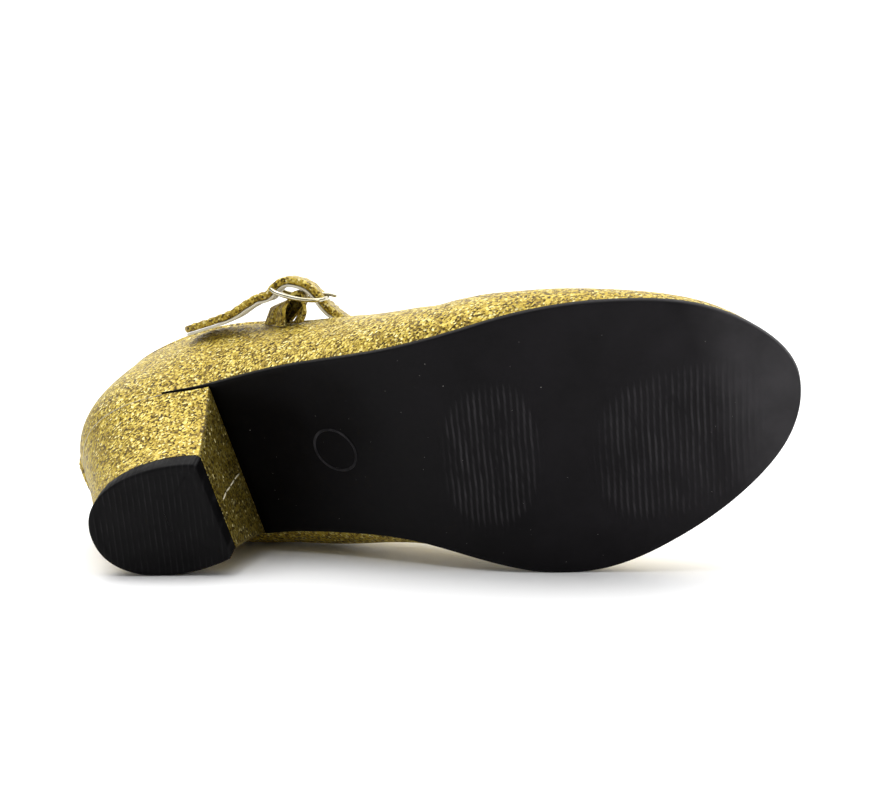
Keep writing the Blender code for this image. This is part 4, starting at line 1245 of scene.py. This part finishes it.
def build_buckle():
    centre, along, outward, across = buckle_axes()
    loop = []
    count, power = 120, 0.62
    for i in range(count):
        angle = 2 * math.pi * i / count
        c, s = math.cos(angle), math.sin(angle)
        run = FRAME_LENGTH / 2 * math.copysign(abs(c) ** power, c)
        side = FRAME_WIDTH / 2 * math.copysign(abs(s) ** power, s)
        bow = FRAME_BOW * (run / (FRAME_LENGTH / 2)) ** 2
        bow += END_RISE * (1 - (side / (FRAME_WIDTH / 2)) ** 2) * abs(run / (FRAME_LENGTH / 2)) ** 4
        loop.append(centre + along * run + across * side + outward * bow)
    ring = tube("buckle_wire", loop, FRAME_WIRE / 2, True, METAL)
    reach = FRAME_WIDTH / 2
    bar = [centre + across * reach * s for s in (-1.0, -0.5, 0.0, 0.5, 1.0)]
    tube("buckle_centre_bar", bar, FRAME_WIRE / 2 * 0.98, False, METAL, 14, False)
    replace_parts(ring, "buckle_frame")
    first = FRAME_WIRE / 2 + CLEARANCE + PRONG_WIRE / 2
    last = FRAME_BOW + FRAME_WIRE / 2 + CLEARANCE + PRONG_WIRE / 2
    wrap = [(first * math.cos(math.radians(a)), first * math.sin(math.radians(a))) for a in range(210, 89, -10)]
    reach = FRAME_LENGTH / 2
    straight = [(reach * s, first + (last - first) * s) for s in (0.25, 0.5, 0.75, 1.0)]
    tip = [(reach + PRONG_WIRE * 1.1, last), (reach + 2.2 * PRONG_WIRE, last - 0.0001)]
    points = [centre + along * run + outward * up for run, up in wrap + straight + tip]
    prong = tube("buckle_pin", points, PRONG_WIRE / 2, False, METAL)
    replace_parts(prong, "buckle_prong")


def chape_side(radius, belly, bottom, step):
    """One face of the chape's strip, seen along the bar: up from the quarter, round the bar, down."""
    leg = []
    for share in (1.0, 0.82, 0.65, 0.53, 0.42, 0.31, 0.2):
        width = radius + (belly - radius) * math.sin(math.pi * share * 0.94)
        leg.append((width, bottom * share))
    top = [(radius * math.cos(math.radians(a)), radius * math.sin(math.radians(a))) for a in range(0, 181, step)]
    return leg + top + [(-x, y) for x, y in leg[::-1]]


def build_chape():
    """Glitter strip looped round the centre bar, one half on each side of the prong."""
    centre, along, outward, across = buckle_axes()
    inner = FRAME_WIRE / 2 + CLEARANCE
    outer = inner + CHAPE_THICKNESS
    low = -BUCKLE_STANDOFF
    outside = chape_side(outer, CHAPE_LOOP / 2, low, 12)
    inside = chape_side(inner, CHAPE_LOOP / 2 - CHAPE_THICKNESS, low, 12)
    ring = outside + inside[::-1]
    place = LAST.distance_of(BUCKLE_SECTION)
    normal = last_normal(place, BUCKLE_UP)
    seat = last_point(place, BUCKLE_UP, CLEARANCE)
    slot = PRONG_WIRE / 2 + 2 * CLEARANCE
    for name, edges in (("chape_lower", (-CHAPE_WIDTH / 2, -slot)), ("chape_upper", (slot, CHAPE_WIDTH / 2))):
        verts = []
        stops = [edges[0], edges[0] + 0.0002, (edges[0] + edges[1]) / 2, edges[1] - 0.0002, edges[1]]
        for k, offset in enumerate(stops):
            for x, y in ring:
                slant = CHAPE_SLANT * (offset + CHAPE_WIDTH / 2) * smoothstep(0.0, 1.0, y / low)
                point = centre + along * (x - slant) + outward * y + across * offset
                if np.dot(point - seat, outward) < CHAPE_THICKNESS:
                    point = point - outward * (np.dot(point - seat, normal) / np.dot(outward, normal))
                verts.append(point)
        size = len(ring)
        faces = grid_faces(len(stops), size, True)
        faces.append(tuple(range(size))[::-1])
        faces.append(tuple(range((len(stops) - 1) * size, len(stops) * size)))
        piece = add_mesh(name, verts, faces, [GLITTER])
        if name == "chape_lower":
            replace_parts(piece, "buckle_chape")


def build_insole():
    """Sock over the insole board: a slightly padded sheet with a turned edge."""
    outer, inner = outline_sides(-SOCK_INSET)
    columns, rows = 24, 90
    low_x, high_x = max(outer[0, 0], inner[0, 0]), min(outer[-1, 0], inner[-1, 0])
    verts = []
    for i in range(rows):
        x = low_x + (high_x - low_x) * (1 - math.cos(math.pi * (0.02 + 0.96 * i / (rows - 1)))) / 2
        low = np.interp(x, outer[:, 0], outer[:, 1])
        high = np.interp(x, inner[:, 0], inner[:, 1])
        base = feather_height(x) + CLEARANCE
        ring = [(low, base), (low, base + INSOLE_THICKNESS * 0.7)]
        for j in range(columns + 1):
            share = j / columns
            dome = 0.0006 * math.sin(math.pi * share) ** 0.5
            ring.append((low + (high - low) * (0.012 + 0.976 * share), base + INSOLE_THICKNESS + dome * 0.6))
        ring += [(high, base + INSOLE_THICKNESS * 0.7), (high, base)]
        verts += [(x, y, z) for y, z in ring]
    size = columns + 5
    faces = grid_faces(rows, size, True)
    faces.append(tuple(range(size))[::-1])
    faces.append(tuple(range((rows - 1) * size, rows * size)))
    piece = add_mesh("sock_lining", verts, faces, [SOCK])
    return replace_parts(piece, "insole")


# Floor, light and camera


def add_stage_sheet(name, corners, paint):
    mesh = bpy.data.meshes.new(name)
    mesh.from_pydata(corners, [], [(0, 1, 2, 3)])
    sheet = bpy.data.objects.new(name, mesh)
    bpy.context.scene.collection.objects.link(sheet)
    mesh.materials.append(paint.material)


def build_stage():
    """Pale floor, with a lit white backdrop far behind the shoe."""
    add_stage_sheet("floor", [(-6, -6, 0), (6, -6, 0), (6, 6, 0), (-6, 6, 0)], Nodes("floor_finish", (0.94, 0.94, 0.94), 0.8))
    paint = Nodes("backdrop_finish", (0.9, 0.9, 0.9), 0.9)
    paint.set("Emission Color", (1.0, 1.0, 1.0, 1.0))
    paint.set("Emission Strength", 1.0)
    add_stage_sheet("backdrop", [(-3, 3.2, 0), (3, 3.2, 0), (3, 3.2, 1.6), (-3, 3.2, 1.6)], paint)


def add_area(name, place, target, size, power, colour=(1.0, 1.0, 1.0)):
    lamp = bpy.data.lights.new(name, "AREA")
    lamp.shape = "RECTANGLE"
    lamp.size, lamp.size_y = size
    lamp.energy = power
    lamp.color = colour
    obj = bpy.data.objects.new(name, lamp)
    bpy.context.scene.collection.objects.link(obj)
    obj.location = place
    obj.rotation_euler = (Vector(target) - Vector(place)).to_track_quat("-Z", "Y").to_euler()


def build_lights():
    world = bpy.data.worlds.new("studio")
    bpy.context.scene.world = world
    world.use_nodes = True
    background = world.node_tree.nodes["Background"]
    background.inputs["Color"].default_value = (1.0, 1.0, 1.0, 1.0)
    background.inputs["Strength"].default_value = 0.30
    add_area("top_light", (0.0, 1.0, 2.3), (0.0, 1.0, 0.0), (4.6, 4.6), 158.0)
    add_area("key_light", (-0.35, -0.10, 1.0), (0, 0, 0.03), (0.5, 0.5), 2.5)
    add_area("toe_light", (1.10, -0.35, 0.45), (0.06, 0, 0.03), (0.5, 0.6), 3.0)


def build_camera():
    camera = bpy.data.cameras.new("photo_camera")
    camera.sensor_fit = "HORIZONTAL"
    camera.sensor_width = SENSOR_WIDTH
    camera.lens = CAMERA_LENS
    camera.clip_start, camera.clip_end = 0.01, 50.0
    obj = bpy.data.objects.new("photo_camera", camera)
    bpy.context.scene.collection.objects.link(obj)
    turn = Matrix((CAMERA_RIGHT, [-v for v in CAMERA_DOWN], [-v for v in CAMERA_AHEAD])).transposed()
    obj.matrix_world = PLACEMENT @ (Matrix.Translation(CAMERA_PLACE) @ turn.to_4x4())
    bpy.context.scene.camera = obj


build_camera()
build_stage()
build_lights()
build_upper()
build_collar_stitches()
build_back_strip()
build_outsole()
build_ring_mark()
build_dust()
build_heel()
build_breast_seam()
build_top_piece()
build_insole()
build_strap()
build_buckle()
build_chape()

bpy.context.scene.view_settings.view_transform = "Standard"
